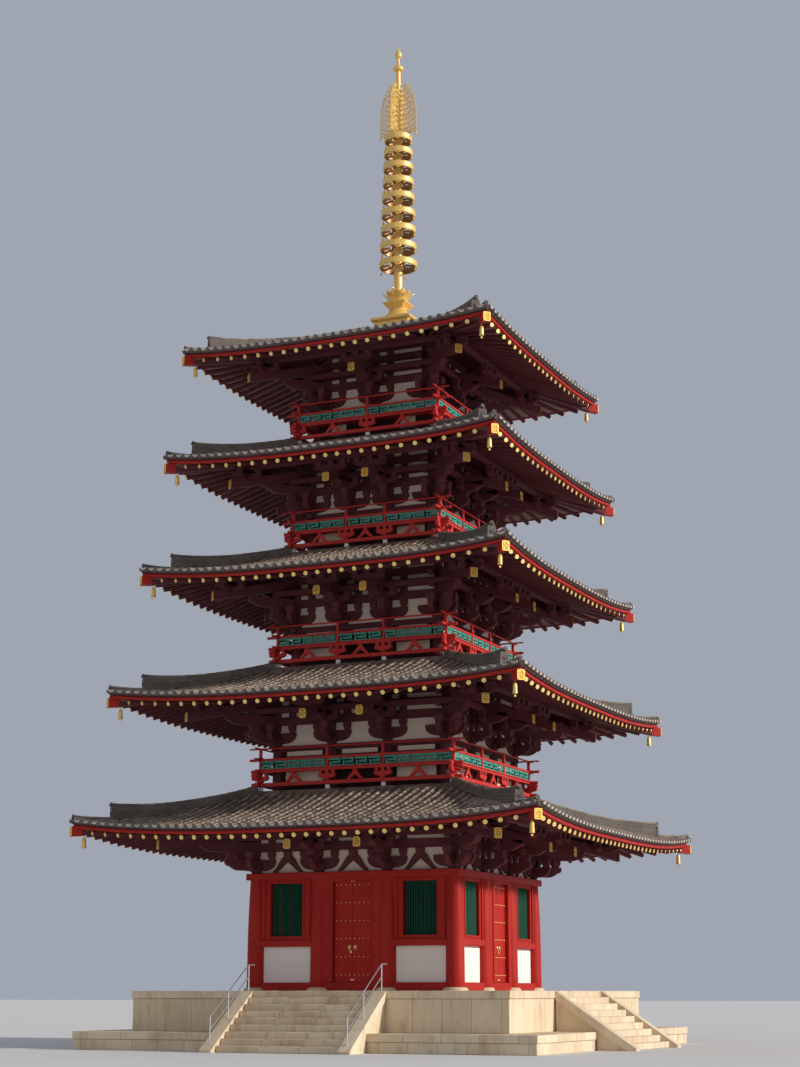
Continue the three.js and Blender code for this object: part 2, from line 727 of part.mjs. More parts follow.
// Four upright leaves round a collar
function finialFlame() {
  const height = FLAME_TOP - FLAME_BOTTOM;
  const edge = [
    [0.62, 0.05], [0.86, 0.16], [1, 0.34], [0.95, 0.52], [0.74, 0.72], [0.42, 0.88], [0.2, 1],
  ];
  const leaf = edge.map(([out, up]) => [out * FLAME_HALF, FLAME_BOTTOM + up * height]);
  leaf.unshift([-MAST_RADIUS / 2, FLAME_BOTTOM + FLAME_THICKNESS]);
  leaf.push([-MAST_RADIUS / 2, FLAME_TOP]);
  const blade = plate(leaf, -FLAME_THICKNESS / 2, FLAME_THICKNESS / 2);
  const collar = post(0, 0, FLAME_BOTTOM + SEAT_GAP, FLAME_TOP + FLAME_COLLAR,
    MAST_RADIUS * 0.73, MAST_RADIUS * 0.6);
  return join([collar, ...onAllSides([blade])]);
}

// A ball, a neck and a pointed jewel
function finialJewel() {
  const foot = FLAME_TOP + FLAME_COLLAR + SEAT_GAP;
  const ball = [-0.9, -0.57, 0, 0.57, 0.9].map((up) => [
    BALL_RADIUS * Math.sqrt(1 - up * up), BALL_CENTRE + BALL_RADIUS * up,
  ]);
  return turned(
    [[0, foot], [80, foot], ...ball, [70, 38700], [110, 38760], [140, 38880], [134, 38990],
      [80, 39110], [0, TOTAL_HEIGHT]],
    12,
  );
}

// The assembly

add("podium_lower", join(podiumTier(LOWER_HALF, 0, LOWER_TOP)), STONE);
add("podium_upper", join([...podiumTier(UPPER_HALF, LOWER_TOP, PODIUM_TOP), ...baseStones()]), STONE);
const flight = stair();
SIDES.forEach((side, turns) => add(side + "_stair", quarterTurned(flight, turns), STONE));
add("front_handrail_left", handrail(-1), STEEL);
add("front_handrail_right", handrail(1), STEEL);

add("ground_frame", groundFrame(plans[0]), RED);
const infill = {
  panel: [plasterPanel(plans[0]), PLASTER],
  window: [windowFrame(plans[0]), RED],
  door: [doorLeaf(plans[0]), RED],
};
SIDES.forEach((side, turns) => {
  for (const [kind, [geometry, material]] of Object.entries(infill)) {
    add(side + "_" + kind + "_right", quarterTurned(geometry, turns), material);
    add(side + "_" + kind + "_left", quarterTurned(mirroredX(geometry), turns), material);
  }
});

plans.forEach((plan, index) => {
  const number = index + 1;
  if (index) {
    add("upper_wall_" + number, upperWall(plan, index), RED);
    add("balcony_" + number, balcony(plan, index), RED);
  }
  add("brackets_" + number, brackets(plan), RED);
  add("eaves_" + number, eaves(plan), RED);
  add("roof_" + number, roof(plan), TILE);
});

add("finial_base", finialBase(), GOLD);
add("finial_rings", finialRings(), GOLD);
add("finial_flame", finialFlame(), GOLD);
add("finial_jewel", finialJewel(), GOLD);

export default pagoda;
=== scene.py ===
# A five-storey pagoda in metres, dressed on its frame; the front is the -Y face.
# Forms are made on the front face, or facing it at the origin, and turned to their places.

import math
from itertools import pairwise

import bpy
import numpy as np
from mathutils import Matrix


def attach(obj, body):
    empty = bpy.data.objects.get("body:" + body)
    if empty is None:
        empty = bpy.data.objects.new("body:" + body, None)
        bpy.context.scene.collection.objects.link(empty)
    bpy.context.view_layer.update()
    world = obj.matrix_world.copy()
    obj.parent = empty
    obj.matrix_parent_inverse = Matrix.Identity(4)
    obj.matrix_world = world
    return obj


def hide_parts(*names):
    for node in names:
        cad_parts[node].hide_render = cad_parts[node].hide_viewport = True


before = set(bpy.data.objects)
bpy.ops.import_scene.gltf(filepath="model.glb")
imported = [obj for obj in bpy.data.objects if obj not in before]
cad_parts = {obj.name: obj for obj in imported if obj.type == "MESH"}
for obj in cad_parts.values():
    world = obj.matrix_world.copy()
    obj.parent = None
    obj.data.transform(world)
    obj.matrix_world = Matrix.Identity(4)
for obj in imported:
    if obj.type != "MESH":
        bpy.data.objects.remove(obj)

TOWER = "tower"
QUARTER = math.pi / 2
EIGHTH = math.pi / 4
DIAGONAL = math.sqrt(2)
UP = np.array([0.0, 0.0, 1.0])
SIDES = ["front", "right", "back", "left"]
HANDS = {"left": -1, "right": 1}
chance = np.random.default_rng(5)

# Angles in degrees over which an edge stays sharp, on squared and on rounded work
SQUARE_EDGES = 34
ROUND_EDGES = 38

# How far edges are cut back: on timber, on small timber, on trim, and on plaster and boards
EASE = 0.012
SMALL_EASE = 0.006
TRIM_EASE = 0.008
PLASTER_EASE = 0.004

# Camera, at the photograph's viewing angle; angles in degrees, lens and picture in millimetres
EYE = (29.216, -65.796, 1.86)
EYE_PITCH = 13.32
EYE_HEADING = 23.889
LENS = 65.47
PICTURE_HEIGHT = 36.0
CLIP_END = 1000.0

# Eaves and roofs
LIFT_POWER = 3
RAFTER_SLOPE = 0.32
RAFTER_LAYER = 0.2
RAFTER_END_INSET = 0.13
FASCIA = {"back": 0.16, "front": 0.05, "drop": 0.03, "rise": 0.125, "painted": 0.085}
TILE_OVERHANG = 0.08
TILE_DEPTH = 0.16
ROOF_SAG = 0.08
DECK_MARGIN = 0.07
HIP_REACH = 0.88
RIDGE = {"courses": 7, "wide": 0.32, "narrow": 0.25, "course": 0.075, "foot": -0.04, "rise": 0.165,
         "round_at": 0.15, "round": 0.092, "taper": 0.84, "sweep": 0.3, "sweep_reach": 3.0,
         "sweep_power": 1.2}
RAFTER_RADIUS = 0.079
RAFTER_BELOW_BOARDS = 0.1
RAFTER_PITCH = 0.452
LAST_RAFTER_INSET = 0.8
RAFTER_FAN_START = 0.2
CORNER_RAFTER = {"width": 0.26, "height": 0.33, "drop": 0.03, "cap": 0.09, "nose": 0.3, "root": 0.26}
CEILING_DEPTH = 0.24
BOARDS = (-0.045, 0.035)
TILE_PITCH = 0.344
TILE_LENGTH = 0.36
PAN_LENGTH = 0.3
TILE_LAP = 0.05
TILE_SETTLING = 0.0025
SHORTEST_TILE = 0.04
CORNER_CLEARANCE = 0.2
RIDGE_CLEARANCE = 0.08
RIDGE_TUCK = 0.02
COVER = {"low": 0.086, "high": 0.072, "rise": 0.012}
PAN_RISE = 0.022
BED_DEPTH = 0.09
BED_OVER_BOARDS = 0.04
HIP_STATIONS = 17
FASCIA_STATIONS = 21
END_PLATE = {"width": 0.27, "height": 0.34, "edge": 0.018, "line": 0.009}
BELL = {"inset": 0.345, "drop": 0.13, "sides": 16}

# Walls and brackets
FINIAL_BOX_HALF = 0.83
FINIAL_DECK_INNER = 0.4
WALL_HALF = 0.1
PURLIN = 0.2
PURLIN_BACK = 0.35
TAIL_DROP = {1.0: 0.48, DIAGONAL: 0.36}
TAIL_SLOPE = 0.3
ARM_HALF = 0.12
TIER = {"arm_foot": 0.14, "arm_top": 0.48, "top": 0.75}
STRIPS = [1.13, 1.56, 1.99]
STRIP_HALF = 0.08
HEAD_BEAM = 0.2
HEAD_STRIP = {2: 0.17, 3: 0.09, 4: 0.16, 5: 0.28}
BLOCK_OFFSETS = (-0.6, 0.0, 0.6)
BIG_BLOCK = {"width": 0.44, "height": 0.27}
SMALL_BLOCK = {"width": 0.28, "depth": 0.3}
SEAT_BLOCK = {"width": 0.3, "under_purlin": 0.35, "in_tail": 0.09}
WALL_ARM = {"half": 0.75, "foot": 0.09}
CROSS_ARM = {"half": 0.62, "short": 0.55, "foot": 0.38, "top": 0.17, "block": 0.24, "block_inset": 0.13}
BOAT_THICKNESS = 0.2
OUT_ARM = {"root": 0.3, "first": 0.2, "second": 0.16, "depth": 0.34}
TAIL_HALF = 0.165
TAIL_ROOT = 0.2
STEP_BEAM = {"foot": 1.13, "top": 1.33, "half": 0.09}
STRUT = {"foot": 0.03, "spread": 0.6, "half": 0.08, "block": 0.3, "block_depth": 0.28}

# Upper storeys: heights over the deck, and for the balcony beams their half-depth, heights and
# reach past the corner post
WALL_RAIL = (0.7, 0.84)
UPPER_WALL = {"back": 0.1, "boards": 0.04, "panel": 0.06, "post": 0.09, "beam": 0.11, "head": 0.13,
              "lower_beam": 0.1, "nose": 0.36, "post_inset": 0.36, "post_half": 0.03, "panel_inset": 0.25}
BALCONY_SILL = (0.065, 0.155, 0.29, 0.34)
BALCONY_FLOOR = (0.06, 0.65, 0.76, 0.37)
BALCONY_RAIL = (0.05, 1.075, 1.165, 0.43)
TOP_RAIL = 1.52
TOP_RAIL_RADIUS = 0.03
POST_HALF = 0.05
POST = (1.15, 1.49)
POST_BLOCK = (1.155, 1.21)
SILL_BLOCK_TOP = 0.4
SILL_ARM = {"half": 0.33, "foot": 0.36, "top": 0.53, "thickness": 0.12}
STEP_BLOCKS = {"offsets": (-0.24, 0.0, 0.24), "width": 0.13, "foot": 0.525}
CORNER_ARMS = ((0.4, 0.3), (0.53, 0.36))
RECESS = {"past_wall": 0.05, "behind_rail": 0.55, "panel": (0.3, 0.72), "half": 0.3, "part": 0.34}
FRET_GAP = 0.042
FRET_PITCH = 0.5

# Ground storey
PODIUM_TOP = 1.93
SILL_TOP = 2.21
RAIL = (3.43, 3.655)
HEAD_BOTTOM = 5.75
DOOR_HALF = 0.71
FRAME_OUT = 0.2
FRAME_IN = 0.14
HEAD_OUT = 0.3
WINDOW_OUT = 0.13
COLUMN_FOOT = 0.325
COLUMN_HEAD = 0.235
BASE_STONE = 0.43
WINDOW_HALF = 0.625
WINDOW = (3.79, 5.61)
STUD_ROWS = [5.521, 4.908, 4.297, 3.69, 3.074, 2.462]
STUD_PITCH = 0.172
PULL = (0.11, 3.42)
STRAP_HEIGHTS = (2.3, 5.66)
LEAF_FACE = 3.89
WINDOW_BARS = 12
BAR_RADIUS = 0.036
WINDOW_TRIM = {"width": 0.07, "gap": 0.005, "back": 0.01, "front": 0.025}

# Podium and stairs
PODIUM = (
    {"name": "podium_lower", "half": 8.35, "low": 0.0, "high": 0.605, "core": 8.05},
    {"name": "podium_upper", "half": 6.93, "low": 0.605, "high": PODIUM_TOP, "core": 6.6},
)
CAP = {"height": 0.25, "width": 0.62, "length": 1.25}
PANEL_LENGTH = 1.0
PAVING = 0.95
HALF_JOINT = 0.003
STAIR = {"half": 2.655, "cheek": 0.42, "foot": 9.7, "head": 6.93, "toe": 0.08, "risers": 9}
STAIR_SLOPE = (PODIUM_TOP - STAIR["toe"]) / (STAIR["foot"] - STAIR["head"])
STRINGER_DEPTH = 0.3
HANDRAIL = {"foot_inset": 0.25, "head_inset": 0.1, "low": 0.45, "high": 0.85, "radius": 0.0225,
            "post": 0.02}

# Finial
FINIAL = {"box_top": 27.42, "bowl_top": 27.94, "slab": (28.0, 28.14), "first": 29.754,
          "last": 35.1, "count": 9, "radii": (0.754, 0.562), "flame": (35.29, 37.57), "flame_half": 0.77,
          "ball": 38.19, "ball_size": (0.215, 0.14), "top": 39.2}
PETALS = 8
CURL_PITCH = 0.15
CURL_RADIUS = 0.082

# Studio
FLOOR_REACH = 400.0
SKY = (0.70, 0.76, 0.88, 1.0)
SKY_STRENGTH = 0.5
SUNS = (
    {"name": "key", "heading": 97.0, "height": 19.0, "energy": 3.6, "spread": 3.0,
     "colour": (1.0, 0.94, 0.87)},
    {"name": "fill", "heading": 10.0, "height": 8.0, "energy": 0.16, "spread": 40.0,
     "colour": (1.0, 0.86, 0.74)},
)


class Storey:
    """One storey's half-widths, from the axis to a face, and its heights.

    eave, tip, board and lift: half-width at the eave, heights of the corner rafter's nose and of the
    boards, and how far the corners rise. tail and ring: reach of the tail rafters and of the columns.
    bays: places of the middle columns. head and deck: heights of the column heads and of the flat seat
    above the roof. above: half-width of what stands there, and of the opening in it. rafters: how many
    stand on each side of the middle one.
    """

    def __init__(self, number, eave, tip, board, lift, tail, ring, bays, head, deck, above, rafters):
        self.number = number
        self.eave = eave
        self.tip = tip
        self.board = board
        self.lift = lift
        self.tail = tail
        self.ring = ring
        self.bays = bays
        self.head = head
        self.deck = deck
        self.rafters = rafters
        self.shoulder = ring + WALL_HALF
        self.deck_half = above[0] + DECK_MARGIN
        self.inner = above[1]
        self.purlin = tail - PURLIN_BACK
        self.flat = max(self.deck_half, self.shoulder, self.purlin)
        self.edge = eave + TILE_OVERHANG
        self.tile_edge = board + FASCIA["rise"] + TILE_DEPTH

    def board_at(self, reach):
        return self.board + RAFTER_SLOPE * (self.eave - np.maximum(reach, self.shoulder))

    def lift_at(self, across, reach):
        outward = np.maximum(0, (reach - self.flat) / (self.eave - self.flat))
        return self.lift * (across / self.eave) ** LIFT_POWER * outward

    def roof_at(self, reach):
        up = np.minimum(1, (self.edge - reach) / (self.edge - self.deck_half))
        bend = up - ROOF_SAG * 4 * up * (1 - up)
        return self.tile_edge + (self.deck - self.tile_edge) * bend

    def hip_at(self, reach):
        return self.roof_at(reach) + self.lift_at(reach, reach)

    def boards_at(self, reach):
        """The height of the boards as a plain number."""
        return float(self.board_at(reach))

    def rafter_top(self):
        """The height on which the rafter layer lies over the wall."""
        return self.boards_at(self.shoulder) - RAFTER_LAYER


RAILS = [3.76, 3.345, 2.97, 2.85]
STOREYS = [
    Storey(1, eave=8.58, tip=7.28, board=7.05, lift=0.41, tail=6.38, ring=3.79, bays=[-1.31, 1.31],
           head=5.98, deck=8.91, above=(RAILS[0], 3.09), rafters=16),
    Storey(2, eave=7.78, tip=11.82, board=11.69, lift=0.35, tail=5.74, ring=3.29, bays=[-1.09, 1.09],
           head=10.54, deck=13.44, above=(RAILS[1], 2.61), rafters=14),
    Storey(3, eave=7.03, tip=16.3, board=16.18, lift=0.35, tail=5.12, ring=2.81, bays=[-0.91, 0.91],
           head=14.94, deck=17.82, above=(RAILS[2], 2.21), rafters=12),
    Storey(4, eave=6.49, tip=20.56, board=20.52, lift=0.31, tail=4.72, ring=2.41, bays=[-0.78, 0.78],
           head=19.28, deck=22.03, above=(RAILS[3], 1.8), rafters=11),
    Storey(5, eave=6.08, tip=24.78, board=24.73, lift=0.24, tail=4.26, ring=2.0, bays=[0.0],
           head=23.43, deck=26.86, above=(FINIAL_BOX_HALF, FINIAL_DECK_INNER), rafters=10),
]


# Forms

class Form:
    """Points, and faces grouped by their number of corners."""

    def __init__(self, points, faces):
        self.points = np.asarray(points, float).reshape(-1, 3)
        self.faces = faces

    def shift(self, x=0.0, y=0.0, z=0.0):
        return Form(self.points + (x, y, z), self.faces)

    def turn(self, angle):
        cos, sin = math.cos(angle), math.sin(angle)
        return Form(self.points @ np.array([[cos, sin, 0], [-sin, cos, 0], [0, 0, 1]]), self.faces)

    def tip(self, angle):
        """Leans back about the X axis; a quarter makes what stood on the floor face the front."""
        cos, sin = math.cos(angle), math.sin(angle)
        return Form(self.points @ np.array([[1, 0, 0], [0, cos, sin], [0, -sin, cos]]), self.faces)

    def mirror(self):
        flipped = {corners: rows[:, ::-1] for corners, rows in self.faces.items()}
        return Form(self.points * (-1, 1, 1), flipped)

    def outward(self):
        """The same form with its faces pointing out."""
        volume = 0.0
        for corners, rows in self.faces.items():
            places = self.points[rows]
            for corner in range(1, corners - 1):
                across = np.cross(places[:, corner], places[:, corner + 1])
                volume += float((places[:, 0] * across).sum())
        if volume >= 0:
            return self
        return Form(self.points, {corners: rows[:, ::-1] for corners, rows in self.faces.items()})


def joined(forms):
    """All the forms as one."""
    points = []
    faces = {}
    start = 0
    for form in forms:
        points.append(form.points)
        for corners, rows in form.faces.items():
            faces.setdefault(corners, []).append(rows + start)
        start += len(form.points)
    merged = {corners: np.concatenate(rows) for corners, rows in faces.items()}
    return Form(np.concatenate(points), merged)


def copies(form, places, headings=None, leans=None):
    """One copy of a form at each place, tipped by each lean and then turned about Z by each heading."""
    places = np.asarray(places, float).reshape(-1, 3)
    leans = np.zeros(len(places)) if leans is None else np.asarray(leans, float)
    headings = np.zeros(len(places)) if headings is None else np.asarray(headings, float)
    cos, sin = np.cos(headings)[:, None], np.sin(headings)[:, None]
    x, depth, height = form.points.T
    y = np.cos(leans)[:, None] * depth - np.sin(leans)[:, None] * height
    z = np.sin(leans)[:, None] * depth + np.cos(leans)[:, None] * height
    turned = np.stack([cos * x - sin * y, sin * x + cos * y, z], axis=-1)
    starts = np.arange(len(places))[:, None, None] * len(form.points)
    faces = {corners: (rows[None] + starts).reshape(-1, corners) for corners, rows in form.faces.items()}
    return Form(turned + places[:, None], faces)


def four_turns(form):
    """A form of the front on the front, right, back and left sides, in that order."""
    return [form.turn(QUARTER * quarter) for quarter in range(4)]


def around(place, half):
    """The two ends of what lies about a place."""
    return place - half, place + half


def along(places, form):
    """One form at each place across."""
    return [form.shift(place) for place in places]


def moved(forms, x, y, z=0.0):
    """The same forms, all shifted alike."""
    return [form.shift(x, y, z) for form in forms]


def round_about(forms):
    """The front's forms on all four sides."""
    return joined(four_turns(joined(forms)))


def on_corners(forms, reach, z):
    """Forms made facing the front at the origin, on all four corners."""
    return joined(four_turns(joined(forms).turn(EIGHTH).shift(reach, -reach, z)))


def lofts(rings, closed=False):
    """Solids through rings of points: axes are solid, step along it, point of the ring, XYZ."""
    rings = np.asarray(rings, float)
    solids, steps, sides = rings.shape[:3]
    index = np.arange(solids * steps * sides).reshape(solids, steps, sides)
    near = index if closed else index[:, :-1]
    far = np.roll(index, -1, axis=1) if closed else index[:, 1:]
    walls = np.stack([near, np.roll(near, -1, axis=2), np.roll(far, -1, axis=2), far], axis=-1)
    faces = {4: [walls.reshape(-1, 4)]}
    if not closed:
        faces.setdefault(sides, []).extend([index[:, 0, ::-1], index[:, -1]])
    merged = {corners: np.concatenate(rows) for corners, rows in faces.items()}
    return Form(rings.reshape(-1, 3), merged).outward()


def circle(radius, sides):
    """Points of a circle, from the first axis round."""
    angle = np.arange(sides) * 2 * math.pi / sides
    return np.stack([radius * np.cos(angle), radius * np.sin(angle)], axis=1)


def timber(width, height, chamfer):
    """The section of a squared timber with eased edges."""
    x, z, c = width / 2, height / 2, chamfer
    return np.array([
        (-x + c, -z), (x - c, -z), (x, -z + c), (x, z - c),
        (x - c, z), (-x + c, z), (-x, z - c), (-x, -z + c),
    ])


def block(x, reach, z, chamfer=EASE):
    """A block with all its edges eased, between two places each way."""
    def ring(inset, height):
        left, right = x[0] + inset, x[1] - inset
        far, near = reach[0] + inset, reach[1] - inset
        return [
            (left + chamfer, -near, height), (right - chamfer, -near, height),
            (right, -near + chamfer, height), (right, -far - chamfer, height),
            (right - chamfer, -far, height), (left + chamfer, -far, height),
            (left, -far - chamfer, height), (left, -near + chamfer, height),
        ]
    low, high = z
    levels = ((chamfer, low), (0, low + chamfer), (0, high - chamfer), (chamfer, high))
    return lofts([[ring(inset, height) for inset, height in levels]])


def box(x, reach, z):
    """A plain block between two places each way."""
    ring = [(x[0], -reach[1]), (x[1], -reach[1]), (x[1], -reach[0]), (x[0], -reach[0])]
    return lofts([[[(u, y, height) for u, y in ring] for height in z]])


def bearing_block(width, z, depth=None):
    """A bracket block at the origin: square above, drawn in below."""
    low, high = z
    half = width / 2
    deep = (depth or width) / 2
    waist = low + (high - low) * 0.45
    def ring(part, height):
        return [(-half * part, -deep * part, height), (half * part, -deep * part, height),
                (half * part, deep * part, height), (-half * part, deep * part, height)]
    levels = ((0.68, low), (0.8, low + (waist - low) * 0.55), (1, waist), (1, high))
    return lofts([[ring(part, height) for part, height in levels]])


def plate(outline, reaches):
    """An outline of places across and heights, given thickness between two reaches."""
    return lofts([[[(u, -reach, z) for u, z in outline] for reach in reaches]])


def side_plate(outline, across):
    """An outline of reaches and heights, given thickness between two places across."""
    return lofts([[[(u, -reach, z) for reach, z in outline] for u in across]])


def lathe(profile, sides):
    """A turned form about the Z axis from radii and heights."""
    rings = [[(x, y, z) for x, y in circle(radius, sides)] for radius, z in profile]
    return lofts([rings])


def square_lathe(profile):
    """A square moulded form about the Z axis from half-widths and heights."""
    return lofts([[[(-h, -h, z), (h, -h, z), (h, h, z), (-h, h, z)] for h, z in profile]])


def tube(path, radius, sides):
    """A round bar along a path; the radius is one number or one for each point."""
    path = np.asarray(path, float)
    radii = np.broadcast_to(radius, len(path))
    tangents = np.gradient(path, axis=0)
    tangents /= np.linalg.norm(tangents, axis=1)[:, None]
    side = np.cross(tangents[0], UP)
    if np.linalg.norm(side) < 0.05:
        side = np.cross(tangents[0], (0.0, 1.0, 0.0))
    rings = []
    for centre, tangent, size in zip(path, tangents, radii):
        side = side - tangent * np.dot(side, tangent)
        side = side / np.linalg.norm(side)
        above = np.cross(tangent, side)
        ring = circle(size, sides)
        rings.append(centre + np.outer(ring[:, 0], side) + np.outer(ring[:, 1], above))
    return lofts([rings])


def hoop(radius, thickness, sides, section):
    """A closed ring about the Z axis."""
    ring = circle(thickness, section)
    rings = [[((radius + r) * x, (radius + r) * y, z) for r, z in ring] for x, y in circle(1.0, sides)]
    return lofts([rings], closed=True)


def level(across, reach):
    """The lift of what stays level to the corners."""
    return 0.0


def square_ring(outer, inner, z, chamfer=EASE):
    """A beam round the four sides, mitred at the corners."""
    low, high = z
    section = [(inner, low), (outer - chamfer, low), (outer, low + chamfer),
               (outer, high - chamfer), (outer - chamfer, high), (inner, high)]
    return hipped_ring(section, level, 2)


def hipped_ring(section, lift, stations):
    """A closed section of reaches and heights, carried round four hips and lifted to the corners."""
    reach, z = np.array(section, float).T
    rings = []
    for part in np.linspace(-1, 1, stations)[:-1]:
        across = part * reach
        rings.append(np.stack([across, -reach, z + lift(np.abs(across), reach)], axis=1))
    turned = [side.points.reshape(len(rings), -1, 3) for side in four_turns(Form(rings, {}))]
    return lofts([np.concatenate(turned)], closed=True)


# Finishes

class Value:
    """A socket that can be added and multiplied; each sum and product is a Math node."""

    def __init__(self, finish, socket):
        self.finish = finish
        self.socket = socket

    def math(self, operation, first, second):
        return self.finish.node("ShaderNodeMath", {"operation": operation}, {0: first, 1: second})

    def __add__(self, other):
        return self.math("ADD", self, other)

    def __radd__(self, other):
        return self.math("ADD", other, self)

    def __mul__(self, other):
        return self.math("MULTIPLY", self, other)

    def __rmul__(self, other):
        return self.math("MULTIPLY", other, self)


class Finish:
    """A material in the making: its nodes, and what feeds the shader."""

    def __init__(self, name):
        self.material = bpy.data.materials.new(name)
        self.material.use_nodes = True
        self.tree = self.material.node_tree
        self.tree.nodes.clear()
        output = self.tree.nodes.new("ShaderNodeOutputMaterial")
        self.shader = self.tree.nodes.new("ShaderNodeBsdfPrincipled")
        self.tree.links.new(self.shader.outputs["BSDF"], output.inputs["Surface"])
        self.position = self.node("ShaderNodeTexCoord", output="Object")

    def node(self, kind, settings=None, sockets=None, output=0):
        made = self.tree.nodes.new(kind)
        for key, value in (settings or {}).items():
            setattr(made, key, value)
        for key, value in (sockets or {}).items():
            self.feed(made.inputs[key], value)
        return Value(self, made.outputs[output])

    def feed(self, socket, value):
        if isinstance(value, Value):
            self.tree.links.new(value.socket, socket)
        else:
            socket.default_value = value

    def noise(self, scale, detail=4.0, roughness=0.6, stretch=None):
        where = self.position
        if stretch:
            where = self.node("ShaderNodeMapping", None, {"Vector": self.position, "Scale": stretch})
        sockets = {"Vector": where, "Scale": scale, "Detail": detail, "Roughness": roughness}
        return self.node("ShaderNodeTexNoise", None, sockets)

    def band(self, value, low, high, start=0.0, end=1.0):
        """A mask that goes from start to end as a value goes from low to high."""
        sockets = {0: value, 1: low, 2: high, 3: start, 4: end}
        return self.node("ShaderNodeMapRange", {"clamp": True}, sockets)

    def mix(self, amount, first, second):
        """Two colours mixed; the colour sockets of the node are 6 and 7, and its result is output 2."""
        sockets = {0: amount, 6: first, 7: second}
        return self.node("ShaderNodeMix", {"data_type": "RGBA"}, sockets, output=2)

    def island(self):
        """A number that is different on each separate tile or stone."""
        return self.node("ShaderNodeNewGeometry", output="Random Per Island")

    def facing_up(self):
        normal = self.node("ShaderNodeNewGeometry", output="Normal")
        return self.node("ShaderNodeSeparateXYZ", None, {0: normal}, output="Z")

    def bump(self, height, strength, distance):
        sockets = {"Height": height, "Strength": strength, "Distance": distance}
        return self.node("ShaderNodeBump", None, sockets)

    def done(self, **inputs):
        for name, value in inputs.items():
            self.feed(self.shader.inputs[name.replace("_", " ")], value)
        return self.material


def rgb(red, green, blue):
    return (red, green, blue, 1.0)


def painted_timber(name, paint, faded, grime, roughness, sheen=0.0):
    """Mineral paint on timber: soft patches, fine brushing and dust where it faces up."""
    finish = Finish(name)
    patches = finish.band(finish.noise(0.7, 5.0), 0.35, 0.7)
    brushed = finish.noise(26.0, 3.0, stretch=(1.0, 1.0, 0.12))
    specks = finish.band(finish.noise(38.0, 2.0, 0.7), 0.66, 0.78)
    dust = finish.band(finish.facing_up(), 0.35, 0.95) * finish.noise(3.0)
    colour = finish.mix(patches * 0.6 + brushed * 0.25, paint, faded)
    colour = finish.mix(specks * 0.5 + dust * 0.5, colour, grime)
    return finish.done(
        Base_Color=colour,
        Roughness=finish.band(brushed, 0.2, 0.8, roughness - 0.08, roughness + 0.14),
        Specular_IOR_Level=0.15,
        Normal=finish.bump(brushed + specks * 0.5, 0.25, 0.004),
        Coat_Weight=sheen,
    )


def plaster(name, dark, pale, stain):
    """Lime plaster: soft clouds, fine grain and faint streaks down from the edges."""
    finish = Finish(name)
    cloud = finish.noise(1.3, 6.0)
    grain = finish.noise(60.0, 3.0)
    streaks = finish.band(finish.noise(4.0, 4.0, stretch=(1.0, 1.0, 0.08)), 0.55, 0.8)
    colour = finish.mix(cloud, dark, pale)
    colour = finish.mix(streaks * 0.25, colour, stain)
    return finish.done(
        Base_Color=colour,
        Roughness=finish.band(grain, 0.0, 1.0, 0.78, 0.95),
        Normal=finish.bump(grain, 0.2, 0.003),
    )


def roof_tile(name, dark, mid, pale, lichen):
    """Fired clay tiles, each with a tone of its own, paler on the crowns where they face up: a painted
    highlight.
    """
    finish = Finish(name)
    each = finish.island()
    blotch = finish.noise(2.2, 6.0, 0.7)
    grain = finish.noise(34.0, 4.0, 0.7)
    crust = finish.band(finish.noise(9.0, 5.0, 0.75), 0.52, 0.66)
    # Paler where a face points up: painted highlight, broken up by the blotches and grain.
    up = finish.band(finish.facing_up(), 0.3, 1.0)
    colour = finish.mix(finish.band(each * 0.35 + blotch * 0.8, 0.3, 0.85), dark, mid)
    colour = finish.mix(up * finish.band(blotch + each * 0.25 + grain * 0.3, 0.6, 0.95), colour, pale)
    colour = finish.mix(crust * 0.3, colour, lichen)
    return finish.done(
        Base_Color=colour,
        Roughness=finish.band(grain, 0.2, 0.8, 0.5, 0.8),
        Normal=finish.bump(grain + crust * 0.5, 0.4, 0.006),
    )


def gilt(name, deep, pale, metallic):
    """Gilded metal: fine brushing, and tarnish in patches."""
    finish = Finish(name)
    wear = finish.noise(6.0, 5.0, 0.65)
    fine = finish.noise(48.0, 3.0)
    tarnish = finish.band(wear, 0.55, 0.8)
    colour = finish.mix(fine * 0.5, deep, pale)
    colour = finish.mix(tarnish * 0.45, colour, rgb(0.40, 0.20, 0.05))
    return finish.done(
        Base_Color=colour,
        Metallic=metallic,
        Roughness=finish.band(fine + tarnish, 0.2, 1.4, 0.36, 0.55),
        Normal=finish.bump(fine, 0.12, 0.002),
    )


def cut_stone():
    """Granite blocks, each with a tone of its own, rusty in patches and streaked by rain."""
    finish = Finish("podium_granite")
    each = finish.island()
    grains = finish.noise(90.0, 4.0, 0.7)
    cloud = finish.noise(0.9, 6.0, 0.6)
    rust = finish.band(finish.noise(1.9, 6.0, 0.7, stretch=(1.0, 1.0, 0.35)), 0.5, 0.72)
    drip = finish.band(finish.noise(5.0, 4.0, stretch=(1.0, 1.0, 0.06)), 0.56, 0.75)
    colour = finish.mix(each * 0.5 + cloud * 0.5, rgb(0.58, 0.45, 0.29), rgb(0.80, 0.68, 0.50))
    colour = finish.mix(rust * 0.62, colour, rgb(0.38, 0.22, 0.10))
    colour = finish.mix(drip * 0.2, colour, rgb(0.17, 0.12, 0.08))
    colour = finish.mix(finish.band(grains, 0.62, 0.75) * 0.35, colour, rgb(0.16, 0.13, 0.10))
    return finish.done(
        Base_Color=colour,
        Roughness=finish.band(grains, 0.2, 0.8, 0.7, 0.9),
        Normal=finish.bump(grains, 0.3, 0.003),
    )


